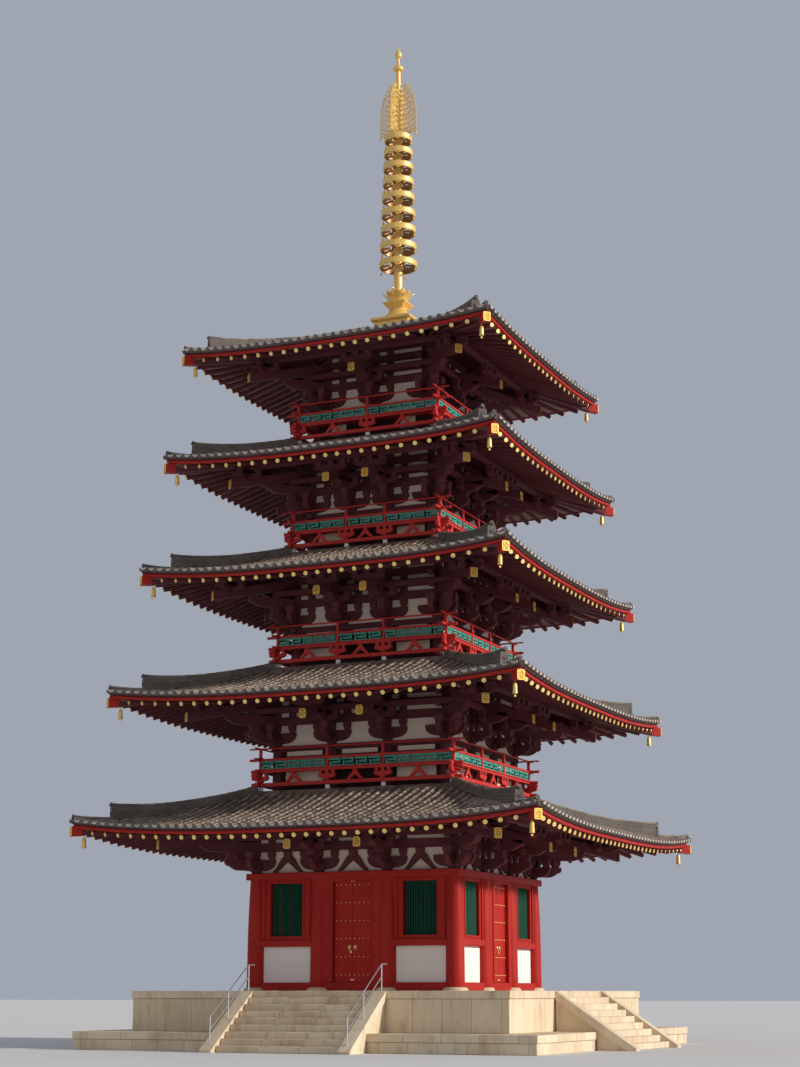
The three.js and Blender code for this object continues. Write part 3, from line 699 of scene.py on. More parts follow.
def brushed_steel():
    """Steel brushed along the rail."""
    finish = Finish("handrail_steel")
    brushed = finish.noise(120.0, 2.0, stretch=(1.0, 0.15, 0.15))
    return finish.done(
        Base_Color=finish.mix(brushed, rgb(0.56, 0.57, 0.58), rgb(0.72, 0.72, 0.73)),
        Metallic=0.9,
        Roughness=finish.band(brushed, 0.2, 0.8, 0.28, 0.42),
        Normal=finish.bump(brushed, 0.1, 0.001),
    )


VERMILION = painted_timber("vermilion_timber", rgb(0.36, 0.015, 0.011), rgb(0.45, 0.028, 0.017),
                           rgb(0.12, 0.018, 0.012), 0.5, 0.03)
# The balconies take the same vermilion paint made lighter, as painted light, since the open balconies
# catch more sky; the darker vermilion above stands partly for the ground storey's deeper shade.
LIT_BALCONY_RED = painted_timber("balcony_timber_painted_light", rgb(0.48, 0.030, 0.026), rgb(0.58, 0.050, 0.040),
                             rgb(0.16, 0.024, 0.020), 0.5, 0.03)
# The vermilion paint made a dark maroon as painted shade, for the timber that lies in shade: rafters,
# ceiling, corner rafter shafts, brackets, upper walls' timber and the fascia's upper strip.
PAINTED_SHADE_RED = painted_timber("painted_shade_timber", rgb(0.108, 0.026, 0.033), rgb(0.150, 0.044, 0.050),
                        rgb(0.048, 0.020, 0.022), 0.66)
# The boards between the rafters are white; this dim pinkish tan is painted shade under the eaves.
PAINTED_SHADE_SOFFIT = painted_timber("painted_shade_eave_boards", rgb(0.46, 0.27, 0.25), rgb(0.62, 0.41, 0.38),
                        rgb(0.16, 0.085, 0.08), 0.8)
TEAL = painted_timber("teal_lattice", rgb(0.045, 0.26, 0.205), rgb(0.110, 0.38, 0.300),
                      rgb(0.020, 0.11, 0.09), 0.6)
GREEN = painted_timber("window_green", rgb(0.005, 0.062, 0.036), rgb(0.010, 0.088, 0.052),
                       rgb(0.006, 0.024, 0.017), 0.6)
# Near-black as painted shade: the upper storeys' walls and the balconies' back boards are dark sheets
# where the wall lies in shade.
PAINTED_SHADE_DARK = painted_timber("painted_shade_recess", rgb(0.030, 0.013, 0.014), rgb(0.048, 0.020, 0.020),
                      rgb(0.018, 0.010, 0.011), 0.8)
PLASTER = plaster("lime_plaster", rgb(0.78, 0.73, 0.69), rgb(0.86, 0.82, 0.78), rgb(0.52, 0.44, 0.36))
# The same lime plaster made darker and warmer as painted shade, for the plaster between the brackets, the
# upper walls' panels and the balconies' panels; its stain is a real stain.
SHADED_PLASTER = plaster("painted_shade_plaster", rgb(0.66, 0.52, 0.43), rgb(0.80, 0.67, 0.57),
                         rgb(0.42, 0.31, 0.24))
TILE = roof_tile("cover_tile", rgb(0.135, 0.098, 0.080), rgb(0.270, 0.195, 0.148),
                 rgb(0.58, 0.46, 0.35), rgb(0.32, 0.25, 0.18))
# The pan tiles are the same clay as the covers, made far darker as painted shade in the valleys between
# the round covers.
SHADED_PAN = roof_tile("pan_tile_painted_shade", rgb(0.045, 0.034, 0.029), rgb(0.095, 0.070, 0.055),
                rgb(0.22, 0.17, 0.13), rgb(0.14, 0.11, 0.08))
TILE_EDGE = roof_tile("eave_tile", rgb(0.085, 0.072, 0.066), rgb(0.190, 0.160, 0.140),
                      rgb(0.42, 0.36, 0.30), rgb(0.26, 0.22, 0.17))
TILE_LIP = roof_tile("limed_lip", rgb(0.36, 0.31, 0.27), rgb(0.60, 0.53, 0.47),
                     rgb(0.70, 0.62, 0.55), rgb(0.42, 0.35, 0.28))
MORTAR = roof_tile("ridge_tile", rgb(0.060, 0.048, 0.042), rgb(0.150, 0.118, 0.095),
                   rgb(0.54, 0.45, 0.35), rgb(0.26, 0.21, 0.16))
GILT = gilt("gilt_bronze", rgb(0.86, 0.54, 0.13), rgb(0.95, 0.70, 0.28), 0.4)
# Paler, brighter copies of the gilt bronze as painted light, so the plates, rafter discs and door studs
# stay bright in shade.
LIT_PLATE_GILT = gilt("plate_gilt_painted_light", rgb(0.97, 0.64, 0.14), rgb(0.99, 0.76, 0.26), 0.8)
LIT_DISC_GILT = gilt("disc_gilt_painted_light", rgb(0.95, 0.70, 0.22), rgb(0.98, 0.82, 0.38), 0.7)
PLATE_GROUND = gilt("plate_ground", rgb(0.60, 0.30, 0.05), rgb(0.72, 0.40, 0.08), 0.5)
# A dark bronze as painted shade, for the insides of the finial's rings and the arms within them.
PAINTED_SHADE_GILT = gilt("painted_shade_inner_gilt", rgb(0.26, 0.12, 0.035), rgb(0.40, 0.20, 0.06), 0.3)
STONE = cut_stone()
STEEL = brushed_steel()


def add_piece(name, forms, finish, stands_for=(), body=TOWER, sharp=SQUARE_EDGES):
    """A visible piece from its forms, on its body."""
    whole = joined(forms)
    corners = np.concatenate([rows.ravel() for rows in whole.faces.values()])
    totals = np.concatenate([np.full(len(rows), size) for size, rows in whole.faces.items()])
    mesh = bpy.data.meshes.new(name)
    mesh.vertices.add(len(whole.points))
    mesh.vertices.foreach_set("co", whole.points.astype(np.float32).ravel())
    mesh.loops.add(len(corners))
    mesh.loops.foreach_set("vertex_index", corners.astype(np.int32))
    mesh.polygons.add(len(totals))
    mesh.polygons.foreach_set("loop_start", (np.cumsum(totals) - totals).astype(np.int32))
    mesh.update(calc_edges=True)
    mesh.validate()
    mesh.shade_smooth()
    mesh.set_sharp_from_angle(angle=math.radians(sharp))
    mesh.materials.append(finish)
    thing = bpy.data.objects.new(name, mesh)
    bpy.context.scene.collection.objects.link(thing)
    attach(thing, body)
    if stands_for:
        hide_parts(*stands_for)
    return thing


# Roofs

def tile_columns(storey, shift):
    """Places across for the tiles of one side, and the reach where each column meets the hip or deck."""
    last = storey.edge - CORNER_CLEARANCE
    count = int(last / TILE_PITCH)
    across = (np.arange(-count, count + 1) + shift) * TILE_PITCH
    across = across[np.abs(across) < last]
    return [(u, max(storey.deck_half, abs(u) + RIDGE_CLEARANCE)) for u in across]


def tile_rows(storey, shift, length):
    """Place across, lower reach and upper reach of each tile of one side."""
    rows = []
    for u, top in tile_columns(storey, shift):
        reach = storey.edge
        while reach > top + SHORTEST_TILE:
            rows.append((u, reach, max(top - RIDGE_TUCK, reach - length - TILE_LAP)))
            reach -= length
    return np.array(rows)


def laid_tiles(storey, rows, sections, raised):
    """Closed tiles between the lower and upper reach of each row."""
    u, low, high = rows.T
    settled = chance.normal(0.0, TILE_SETTLING, len(rows))
    rings = []
    for reach, section, rise in zip((low, high), sections, raised):
        base = storey.roof_at(reach) - BED_DEPTH + storey.lift_at(np.abs(u), reach) + rise + settled
        across = u[:, None] + section[None, :, 0]
        height = base[:, None] + section[None, :, 1]
        forward = np.broadcast_to(-reach[:, None], across.shape)
        rings.append(np.stack([across, forward, height], axis=-1))
    return lofts(np.stack(rings, axis=1))


def half_round(radius):
    """The section of a round tile."""
    angle = np.linspace(0, math.pi, 6)
    return np.stack([radius * np.cos(angle), radius * np.sin(angle)], axis=1)


PAN_SECTION = np.array([(0.13, 0.05), (0.048, 0.016), (-0.048, 0.016), (-0.13, 0.05),
                        (-0.13, -0.012), (0.13, -0.012)])


def end_tile():
    """A round eave tile: a rim, a sunk field and a boss, facing the front."""
    profile = [(0.08, -0.05), (0.08, 0.012), (0.075, 0.02), (0.062, 0.02), (0.058, 0.008),
               (0.03, 0.008), (0.025, 0.018), (0.01, 0.022)]
    return lathe(profile, 12).tip(QUARTER)


def pan_lip():
    """The turned-down front of a pan tile, facing the front."""
    upper = [(0.125, 0.052), (0.06, 0.026), (0.0, 0.018), (-0.06, 0.026), (-0.125, 0.052)]
    lower = [(-0.12, -0.012), (-0.06, -0.05), (0.0, -0.06), (0.06, -0.05), (0.12, -0.012)]
    return plate(upper + lower, (-0.02, 0.025))


def bed(storey):
    """What the tiles lie on: mortar and boards from the eave to the flat seat at the top."""
    low = storey.tile_edge - TILE_DEPTH
    fascia_back = storey.eave - FASCIA["back"]
    under = [(reach, storey.boards_at(reach) + BED_OVER_BOARDS)
             for reach in (storey.inner, storey.shoulder, fascia_back)]
    slope = []
    for part in (0.0, 0.12, 0.25, 0.4, 0.55, 0.7, 0.85):
        reach = storey.edge - (storey.edge - storey.deck_half) * part
        slope.append((reach - (0.03 if part == 0 else 0), float(storey.roof_at(reach)) - BED_DEPTH))
    section = [*under, (fascia_back, low), (storey.eave - 0.02, low), *slope,
               (storey.deck_half, storey.deck), (storey.inner, storey.deck)]
    return hipped_ring(section, storey.lift_at, HIP_STATIONS)


def on_hip(storey, sections, reaches, heights):
    """A section, or one for each reach, carried down the front right hip at heights above the tiles."""
    across = np.array([1.0, 1.0, 0.0]) / DIAGONAL
    count = len(reaches)
    sections = np.broadcast_to(sections, (count, *np.shape(sections)[-2:]))
    rings = []
    for reach, section, height in zip(reaches, sections, np.broadcast_to(heights, count)):
        centre = np.array([reach, -reach, float(storey.hip_at(reach)) + height])
        rings.append(centre + np.outer(section[:, 0], across) + np.outer(section[:, 1], UP))
    return lofts([rings])


def ridge_courses(storey):
    """Flat courses up the hip under round tiles, swept up at the end, and a low row on to the corner."""
    top = storey.deck_half + 0.01
    end = storey.eave * HIP_REACH
    stations = np.linspace(top, end, 13)
    swept = np.clip((stations - (end - RIDGE["sweep_reach"])) / RIDGE["sweep_reach"], 0, 1)
    sweep = RIDGE["sweep"] * swept ** RIDGE["sweep_power"]
    count = RIDGE["courses"]
    forms = []
    for course, width in enumerate(np.linspace(RIDGE["wide"], RIDGE["narrow"], count)):
        rise = RIDGE["foot"] + RIDGE["rise"] * course / (count - 1) + sweep * (course + 1) / count
        forms.append(on_hip(storey, timber(width, RIDGE["course"], 0.008), stations, rise))
    marks = np.linspace(top, end, int((end - top) * DIAGONAL / TILE_LENGTH) + 1)
    lifts = np.interp(marks, stations, sweep) + RIDGE["round_at"]
    wide = half_round(RIDGE["round"])
    for (near, far), (low, high) in zip(pairwise(marks), pairwise(lifts)):
        forms.append(on_hip(storey, [wide * RIDGE["taper"], wide], [near - 0.03, far], [low, high]))
    tail = np.linspace(end - 0.1, storey.eave - 0.05, 5)
    forms.append(on_hip(storey, timber(0.3, 0.06, 0.01), tail, -0.05))
    forms.append(on_hip(storey, half_round(0.085), tail, -0.02 + 0.04 * np.linspace(0, 1, 5) ** 2))
    return forms


def ridge_end():
    """The upright plate that closes a ridge, with a ring and a boss, under the last round tile."""
    outline = [(-0.18, -0.08), (0.18, -0.08), (0.165, 0.1), (0.15, 0.37), (0.08, 0.43), (-0.08, 0.43),
               (-0.15, 0.37), (-0.165, 0.1)]
    closing = plate(outline, (-0.04, 0.03))
    ring = hoop(0.085, 0.014, 14, 5).tip(QUARTER).shift(0, -0.03, 0.19)
    boss = lathe([(0.055, 0.0), (0.048, 0.025), (0.026, 0.042), (0.006, 0.048)], 12)
    boss = boss.tip(QUARTER).shift(0, -0.025, 0.19)
    horn = tube([(0, 0.25, 0.4), (0, 0.1, 0.43), (0, -0.03, 0.48)], [0.086, 0.084, 0.08], 12)
    face = end_tile().tip(-0.4).shift(0, -0.06, 0.495)
    return [closing, ring, boss, horn, face]


def dress_roof(storey):
    """Round and pan tiles, their ends at the eave, the bed under them and the hip ridges."""
    name = f"roof_{storey.number}"
    cover_rows, pan_rows = tile_rows(storey, 0.5, TILE_LENGTH), tile_rows(storey, 0.0, PAN_LENGTH)
    sections = (half_round(COVER["low"]), half_round(COVER["high"]))
    covers = laid_tiles(storey, cover_rows, sections, (COVER["rise"], 0.0))
    pans = laid_tiles(storey, pan_rows, (PAN_SECTION, PAN_SECTION), (PAN_RISE, 0.0))
    add_piece(f"{name}_covers", [round_about([covers])], TILE, [name], sharp=ROUND_EDGES)
    add_piece(f"{name}_pans", [round_about([pans])], SHADED_PAN)
    edge_height = storey.tile_edge - BED_DEPTH
    for part, shift, form, rise, forward, finish in (
        ("round_ends", 0.5, end_tile(), 0.012, 0.02, TILE_EDGE),
        ("lips", 0.0, pan_lip(), 0.02, 0.0, TILE_LIP),
    ):
        across = np.array([u for u, _ in tile_columns(storey, shift)])
        height = edge_height + storey.lift_at(np.abs(across), storey.edge) + rise
        places = np.stack([across, np.full_like(across, -storey.edge - forward), height], axis=1)
        add_piece(f"{name}_{part}", [round_about([copies(form, places)])], finish)
    add_piece(f"{name}_bed", [bed(storey)], MORTAR, sharp=ROUND_EDGES)
    end = storey.eave * HIP_REACH
    crest = on_corners(ridge_end(), end + 0.02, float(storey.hip_at(end)))
    tip_height = float(storey.hip_at(storey.eave)) + 0.04
    tips = on_corners([end_tile().tip(-0.15)], storey.eave - 0.04, tip_height)
    ridges = round_about(ridge_courses(storey))
    add_piece(f"{name}_ridges", [ridges, crest, tips], MORTAR, sharp=ROUND_EDGES)


# Eaves

def rafter_ends(storey):
    """Start and end of each rafter of one side, parallel over the wall and fanned at the corners."""
    last = storey.eave - LAST_RAFTER_INSET
    spread = (last - RAFTER_PITCH * storey.rafters) / storey.rafters ** 2
    end_reach = storey.eave - RAFTER_END_INSET
    rafters = []
    for step in range(-storey.rafters, storey.rafters + 1):
        count = abs(step)
        across = RAFTER_PITCH * count + spread * count ** 2
        if across <= storey.ring:
            start = (across, storey.shoulder)
        else:
            part = RAFTER_FAN_START * DIAGONAL / (end_reach - across)
            start = tuple(storey.ring + part * (end - storey.ring) for end in (across, end_reach))
        points = []
        for u, reach in (start, (across, end_reach)):
            z = storey.board_at(reach) - RAFTER_BELOW_BOARDS - RAFTER_RADIUS + storey.lift_at(u, reach)
            points.append(np.array([math.copysign(u, step or 1), -reach, float(z)]))
        rafters.append(points)
    return rafters


def end_plate():
    """A gilt plate at the origin, facing the front: its ground, and its border, cross and studs."""
    x, z = END_PLATE["width"] / 2, END_PLATE["height"] / 2
    edge, line = END_PLATE["edge"], END_PLATE["line"]

    def bar(left, right, low, high, reaches=(-0.002, 0.02)):
        return plate([(left, low), (right, low), (right, high), (left, high)], reaches)

    raised = [bar(-x, x, end - edge, end + edge) for end in (-z + edge, z - edge)]
    raised += [bar(end - edge, end + edge, -z, z) for end in (-x + edge, x - edge)]
    raised += [bar(-line, line, -z + edge, z - edge), bar(-x + edge, x - edge, -line, line)]
    stud = lathe([(0.034, 0.0), (0.03, 0.016), (0.012, 0.024)], 8).tip(QUARTER)
    spots = [(side * (x + edge) * 0.45, -0.008, height * (z + edge) * 0.45)
             for side in (-1, 1) for height in (-1, 1)]
    return [bar(-x, x, -z, z, (-0.004, 0.01))], [*raised, copies(stud, spots)]


def wind_bell():
    """A bell with a four-pointed lip on a hook, and a leaf below it, hung from the origin."""
    hook = tube([(0, 0, 0.06), (0, 0, -0.05), (0, 0, -0.1)], 0.012, 6)
    shoulder = lathe([(0.012, -0.07), (0.05, -0.082), (0.068, -0.12), (0.074, -0.2)], 14)
    lobes = np.cos(4 * np.arange(BELL["sides"]) * 2 * math.pi / BELL["sides"])
    body = []
    for z, radius, flare in (
        (-0.19, 0.074, 0.0), (-0.3, 0.077, 0.0), (-0.37, 0.08, 0.05), (-0.42, 0.086, 0.12),
    ):
        ring = circle(radius * (1 + flare * lobes), BELL["sides"])
        body.append(np.column_stack([ring, z - 0.05 * flare * lobes]))
    leaf_rod = tube([(0, 0, -0.38), (0, 0, -0.46)], 0.008, 6)
    outline = [(0, -0.45), (0.034, -0.48), (0.024, -0.53), (0, -0.51), (-0.024, -0.53), (-0.034, -0.48)]
    leaf = plate(outline, (-0.006, 0.006))
    return [hook, shoulder, lofts([body]), leaf_rod, leaf]


def corner_rafter(storey):
    """The heavy rafter under each hip, on the corner diagonal, and its painted nose."""
    size = CORNER_RAFTER
    end = storey.eave * DIAGONAL
    start = storey.shoulder * DIAGONAL
    low = storey.boards_at(storey.shoulder) - size["height"] - size["drop"]
    foot, head = storey.tip - size["height"] / 2, storey.tip + size["height"] / 2
    step = end - size["cap"] - size["nose"]
    across = (-size["width"] / 2, size["width"] / 2)
    shaft = side_plate([(start, low), (step, foot + 0.025), (step, storey.tip + 0.02),
                        (start, low + size["root"])], across)
    nose = side_plate([(step, foot + 0.025), (end - size["nose"], foot + 0.02), (end - 0.02, foot),
                       (end - 0.02, head), (step, head)], across)
    return [round_about([form.turn(EIGHTH)]) for form in (shaft, nose)]


def rafter_discs(rafters):
    """A gilt cap on each rafter's end, leaning and turning with it."""
    cap = lathe([(0.080, -0.012), (0.080, 0.004), (0.076, 0.012), (0.064, 0.012), (0.060, 0.006),
                 (0.030, 0.006), (0.026, 0.014), (0.006, 0.016)], 14).tip(QUARTER)
    headings = []
    leans = []
    for start, end in rafters:
        run = end - start
        headings.append(math.atan2(run[0], -run[1]))
        leans.append(math.atan2(-run[2], math.hypot(run[0], run[1])))
    return round_about([copies(cap, [end for _, end in rafters], headings, leans)])


def dress_eaves(storey):
    """Rafters and boards under the roof, the fascia, and the gilt on the ends and corners."""
    name = f"eaves_{storey.number}"
    rafters = rafter_ends(storey)
    rods = [tube([start, end], RAFTER_RADIUS, 10) for start, end in rafters]
    under = storey.rafter_top()
    ceiling = [(storey.inner, under), (storey.shoulder, under), (storey.shoulder, under + CEILING_DEPTH),
               (storey.inner, under + CEILING_DEPTH)]
    shaft, nose = corner_rafter(storey)
    add_piece(f"{name}_rafters", [round_about(rods), hipped_ring(ceiling, level, 2), shaft], PAINTED_SHADE_RED,
              [name], sharp=ROUND_EDGES)
    back, front = storey.eave - FASCIA["back"], storey.eave - FASCIA["front"]
    low, high = storey.board - FASCIA["drop"], storey.board + FASCIA["rise"]
    middle = low + FASCIA["painted"]
    painted = [(back, low), (front - 0.012, low), (front, low + 0.012), (front, middle), (back, middle)]
    # Above the red band the fascia is set back under a lip and painted dark maroon: painted shadow of the
    # tiles above it.
    shadow_strip = [(back, middle), (front - 0.03, middle), (front - 0.03, high - 0.03),
              (front + 0.02, high - 0.03), (front + 0.02, high), (back, high)]
    lower, upper = BOARDS
    near = (storey.shoulder - 0.02, storey.boards_at(storey.shoulder))
    far = (back + 0.02, storey.boards_at(back))
    boards = [(reach, z + side) for (reach, z), side in (
        (near, lower), (far, lower), (far, upper), (near, upper),
    )]
    fascia = hipped_ring(painted, storey.lift_at, FASCIA_STATIONS)
    add_piece(f"{name}_fascia", [fascia, nose], VERMILION)
    for part, section, stations, finish in (
        ("shadow_strip", shadow_strip, FASCIA_STATIONS, PAINTED_SHADE_RED), ("boards", boards, HIP_STATIONS, PAINTED_SHADE_SOFFIT),
    ):
        ring = hipped_ring(section, storey.lift_at, stations)
        add_piece(f"{name}_{part}", [ring], finish)
    ground, raised = end_plate()
    plate_reach = storey.eave - 0.02 / DIAGONAL
    bells = on_corners(wind_bell(), storey.eave - BELL["inset"], storey.tip - BELL["drop"])
    for part, form, finish in (
        ("discs", rafter_discs(rafters), LIT_DISC_GILT),
        ("gilt", bells, GILT),
        ("corner_plates", on_corners(raised, plate_reach, storey.tip), LIT_PLATE_GILT),
        ("plate_grounds", on_corners(ground, plate_reach, storey.tip), PLATE_GROUND),
    ):
        add_piece(f"{name}_{part}", [form], finish)


# Brackets

def boat(length, foot, top, thickness):
    """A bracket arm across the front at the origin, its ends curved up like a boat."""
    rise = top - foot
    curve = [(1.0, top - 0.12), (0.93, foot + rise * 0.42), (0.8, foot + rise * 0.2),
             (0.6, foot + rise * 0.06), (0.35, foot)]
    left = [(-length * part, z) for part, z in curve]
    right = [(length * part, z) for part, z in reversed(curve)]
    return plate([(-length, top), *left, *right, (length, top)], (-thickness / 2, thickness / 2))


def wall_brackets(storey):
    """Blocks and boat arms in the plane of the wall, over each column of the front."""
    base = storey.head
    arm_top = base + TIER["arm_top"]
    arm = boat(WALL_ARM["half"], base + WALL_ARM["foot"], arm_top, BOAT_THICKNESS)
    big = bearing_block(BIG_BLOCK["width"], (base, base + BIG_BLOCK["height"]))
    small_z = (arm_top - 0.01, base + TIER["top"] + 0.01)
    small = bearing_block(SMALL_BLOCK["width"], small_z, SMALL_BLOCK["depth"])
    forms = []
    for place in (-storey.ring, *storey.bays):
        forms += [big.shift(place), arm.shift(place)]
        forms += along([place + offset for offset in BLOCK_OFFSETS], small)
    forms += [arm.shift(storey.ring), small.shift(storey.ring + BLOCK_OFFSETS[-1])]
    return moved(forms, 0, -storey.ring)


def wall_beams(storey):
    """Beams round the wall above the arms, and small blocks across the plaster strips between them."""
    base = storey.head
    outer, inner = storey.ring + UPPER_WALL["beam"], storey.ring - UPPER_WALL["back"]
    strips = [(base + strip - STRIP_HALF, base + strip + STRIP_HALF) for strip in STRIPS]
    marks = [base + TIER["top"], *[height for strip in strips for height in strip], storey.rafter_top()]
    beams = [square_ring(outer, inner, z) for z in zip(marks[0::2], marks[1::2])]
    places = [place + offset for place in (-storey.ring, *storey.bays) for offset in BLOCK_OFFSETS]
    spacers = []
    for strip in strips:
        spacer = block((-0.13, 0.13), (-0.1, 0.12), strip, SMALL_EASE)
        spacers += along(places, spacer.shift(0, -storey.ring))
    return beams, spacers


def reaching_arm(storey, stretch):
    """Arms stepping out from one column, the tail rafter and the blocks that carry the purlin."""
    base = storey.head
    wall = storey.ring * stretch
    tail = storey.tail * stretch
    seat = (storey.purlin - PURLIN / 2) * stretch
    step = (seat - wall) / 3
    tail_height = storey.tip - TAIL_DROP[stretch]
    slope = TAIL_SLOPE / stretch
    across = (-ARM_HALF, ARM_HALF)
    root = wall - OUT_ARM["root"]

    def out_arm(end, foot, top):
        """An arm running forward, its end curved up in two lobes."""
        return side_plate([
            (root, top), (end, top), (end, top - 0.13), (end - 0.07, top - 0.2), (end - 0.2, top - 0.235),
            (end - 0.26, top - 0.29), (end - 0.42, foot + 0.015), (root, foot),
        ], across)

    purlin_foot = storey.boards_at(storey.purlin) - RAFTER_LAYER - PURLIN
    arm_foot, arm_top, tier_top = (base + TIER[mark] for mark in ("arm_foot", "arm_top", "top"))
    first = wall + step
    back = wall - TAIL_ROOT
    back_height = tail_height + slope * (tail - back)
    tail_top = tail_height + slope * (tail - seat) + TAIL_HALF
    seat_z = (tail_top - SEAT_BLOCK["in_tail"], purlin_foot - SEAT_BLOCK["under_purlin"])
    forms = [
        out_arm(first + OUT_ARM["first"], arm_foot - 0.04, arm_top),
        out_arm(first + step + OUT_ARM["second"], tier_top - 0.02, tier_top + OUT_ARM["depth"]),
        bearing_block(SEAT_BLOCK["width"], (arm_top - 0.01, tier_top)).shift(0, -first),
        side_plate([(back, back_height - TAIL_HALF), (tail, tail_height - TAIL_HALF),
                    (tail, tail_height + TAIL_HALF), (back, back_height + TAIL_HALF)], across),
        bearing_block(SEAT_BLOCK["width"], seat_z).shift(0, -seat),
    ]
    marks = {"first": first, "seat": seat, "foot": purlin_foot, "tail": tail, "height": tail_height}
    return forms, marks


def cross_arm(top, half=CROSS_ARM["half"]):
    """A boat arm across the front at the origin with three blocks, under a beam at the given height."""
    end = half - CROSS_ARM["block_inset"]
    arm = boat(half, top - CROSS_ARM["foot"], top - CROSS_ARM["top"], BOAT_THICKNESS)
    small = bearing_block(CROSS_ARM["block"], (top - CROSS_ARM["top"] - 0.01, top + 0.005))
    return [arm, *along((-end, 0.0, end), small)]


def strut(foot, top):
    """An inverted V of two flared legs under a block, across the front at the origin."""
    spread = STRUT["spread"]
    outline = [(0.0, top - 0.13), (0.0, top - 0.36), (spread * 0.45, foot + 0.13),
               (spread * 0.72, foot), (spread, foot), (spread * 0.8, foot + 0.13),
               (spread * 0.42, top - 0.25), (0.13, top - 0.13)]
    leg = plate(outline, (-STRUT["half"], STRUT["half"]))
    head = bearing_block(STRUT["block"], (top - 0.2, top + 0.01), STRUT["block_depth"])
    return [leg, leg.mirror(), head]


def dress_brackets(storey):
    """Everything between the column heads and the rafters."""
    name = f"brackets_{storey.number}"
    base = storey.head
    beams, spacers = wall_beams(storey)
    forms = wall_brackets(storey) + spacers
    straight, marks = reaching_arm(storey, 1.0)
    beam_foot, beam_top = base + STEP_BEAM["foot"], base + STEP_BEAM["top"]
    arms = straight + moved(cross_arm(marks["foot"]), 0, -marks["seat"])
    arms += moved(cross_arm(beam_foot, CROSS_ARM["short"]), 0, -marks["first"])
    for place in storey.bays:
        forms += [form.shift(place) for form in arms]
    if storey.number == 1:
        middle = (storey.bays[1] + storey.ring) / 2
        legs = moved(strut(base + STRUT["foot"], base + TIER["top"]), 0, -storey.ring - 0.02)
        forms += [form.shift(place) for place in (-middle, 0.0, middle) for form in legs]
    diagonal, corner = reaching_arm(storey, DIAGONAL)
    corner_forms = [form.turn(EIGHTH) for form in diagonal]
    seat = corner["seat"] / DIAGONAL
    for form in cross_arm(corner["foot"]):
        corner_forms += [form.shift(seat, -seat), form.turn(QUARTER).shift(seat, -seat)]
    purlin_ends = (marks["foot"], marks["foot"] + PURLIN)
    purlin = square_ring(storey.purlin, storey.purlin - PURLIN, purlin_ends, 0.03)
    inner, outer = around(marks["first"], STEP_BEAM["half"])
    step_beam = square_ring(outer, inner, (beam_foot, beam_top), 0.02)
    timbers = [round_about(forms), *beams, round_about(corner_forms), purlin, step_beam]
    add_piece(f"{name}_timber", timbers, PAINTED_SHADE_RED, [name])
    ground, raised = end_plate()
    for part, plates, finish in (
        ("plates", raised, LIT_PLATE_GILT), ("plate_grounds", ground, PLATE_GROUND),
    ):
        whole = joined(plates).shift(0, -marks["tail"], marks["height"])
        on_bays = round_about(along(storey.bays, whole))
        corner_plates = on_corners(plates, corner["tail"] / DIAGONAL, corner["height"])
        add_piece(f"{name}_{part}", [on_bays, corner_plates], finish)
    wall = square_ring(storey.ring + 0.03, storey.ring - 0.09, (base, storey.rafter_top()), PLASTER_EASE)
    add_piece(f"{name}_plaster", [wall], SHADED_PLASTER)


# Upper storeys

def dress_upper_wall(storey, below):
    """Columns, beams and boarding of an upper storey, with its plaster panels."""
    name = f"upper_wall_{storey.number}"
    size = UPPER_WALL
    foot, head, ring = below.deck, storey.head, storey.ring
    back = ring - size["back"]
    column = lathe([(0.2, foot), (0.2, foot + 0.8), (0.19, head - 0.1), (0.172, head)], 20)
    forms = along((-ring, *storey.bays), column.shift(0, -ring))
    beam_foot = head - HEAD_BEAM
    strip_foot = beam_foot - HEAD_STRIP[storey.number]
    lower_foot = strip_foot - size["lower_beam"]
    rail_foot, rail_top = (foot + height for height in WALL_RAIL)
    rings = [square_ring(ring + size[front], back, z) for front, z in (
        ("head", (beam_foot, head)), ("beam", (lower_foot, strip_foot)), ("post", (rail_foot, rail_top)),
    )]
    nose_reach = (ring - size["post"], ring + size["beam"])
    nose = block((ring, ring + size["nose"]), nose_reach, (head - 0.18, head - 0.02))
    panel_face, post_face = (ring, ring + size["panel"]), (ring, ring + size["post"])
    strip = (strip_foot, beam_foot)
    panels = []
    for left, right in pairwise([-ring, *storey.bays, ring]):
        middle = (left + right) / 2
        ends = around(middle, (right - left) / 2 - size["post_inset"])
        panels.append(block(ends, panel_face, strip, PLASTER_EASE))
        forms += [block(around(end, size["post_half"]), post_face, strip, SMALL_EASE) for end in ends]
        if abs(middle) > 0.01 and lower_foot > rail_top + 0.06:
            across = (left + size["panel_inset"], right - size["panel_inset"])
            panels.append(block(across, panel_face, (rail_top, lower_foot), PLASTER_EASE))
    add_piece(f"{name}_timber", [round_about([*forms, nose]), *rings], PAINTED_SHADE_RED, [name])
    # The boarding is a dark sheet of painted shade.
    wall = square_ring(ring + size["boards"], back, (foot, head), PLASTER_EASE)
    add_piece(f"{name}_boards", [wall], PAINTED_SHADE_DARK)
    add_piece(f"{name}_plaster", [round_about(panels)], SHADED_PLASTER)


def fret(length, low, high):
    """A band of interlocking hooks between two rails, across the front at the origin."""
    row = (high - low - 2 * FRET_GAP) / 3
    count = max(1, round(length / FRET_PITCH))
    pitch = length / count
    middle_low, middle_high = low + row + FRET_GAP, high - row - FRET_GAP
    hook_end = pitch * 0.9
    foot_start = pitch * 0.08
    bars = [
        (0.0, hook_end, (high - row, high)),
        (hook_end - row, hook_end, (middle_low, high - row)),
        (foot_start + row + FRET_GAP, hook_end - row, (middle_low, middle_high)),
        (foot_start, foot_start + row, (low, middle_high)),
        (foot_start + row, pitch * 0.98, (low, low + row)),
    ]
    lefts = [-length / 2 + pitch * cell for cell in range(count)]
    return [box((left + start, left + end), (-0.02, 0.02), z)
            for left in lefts for start, end, z in bars]


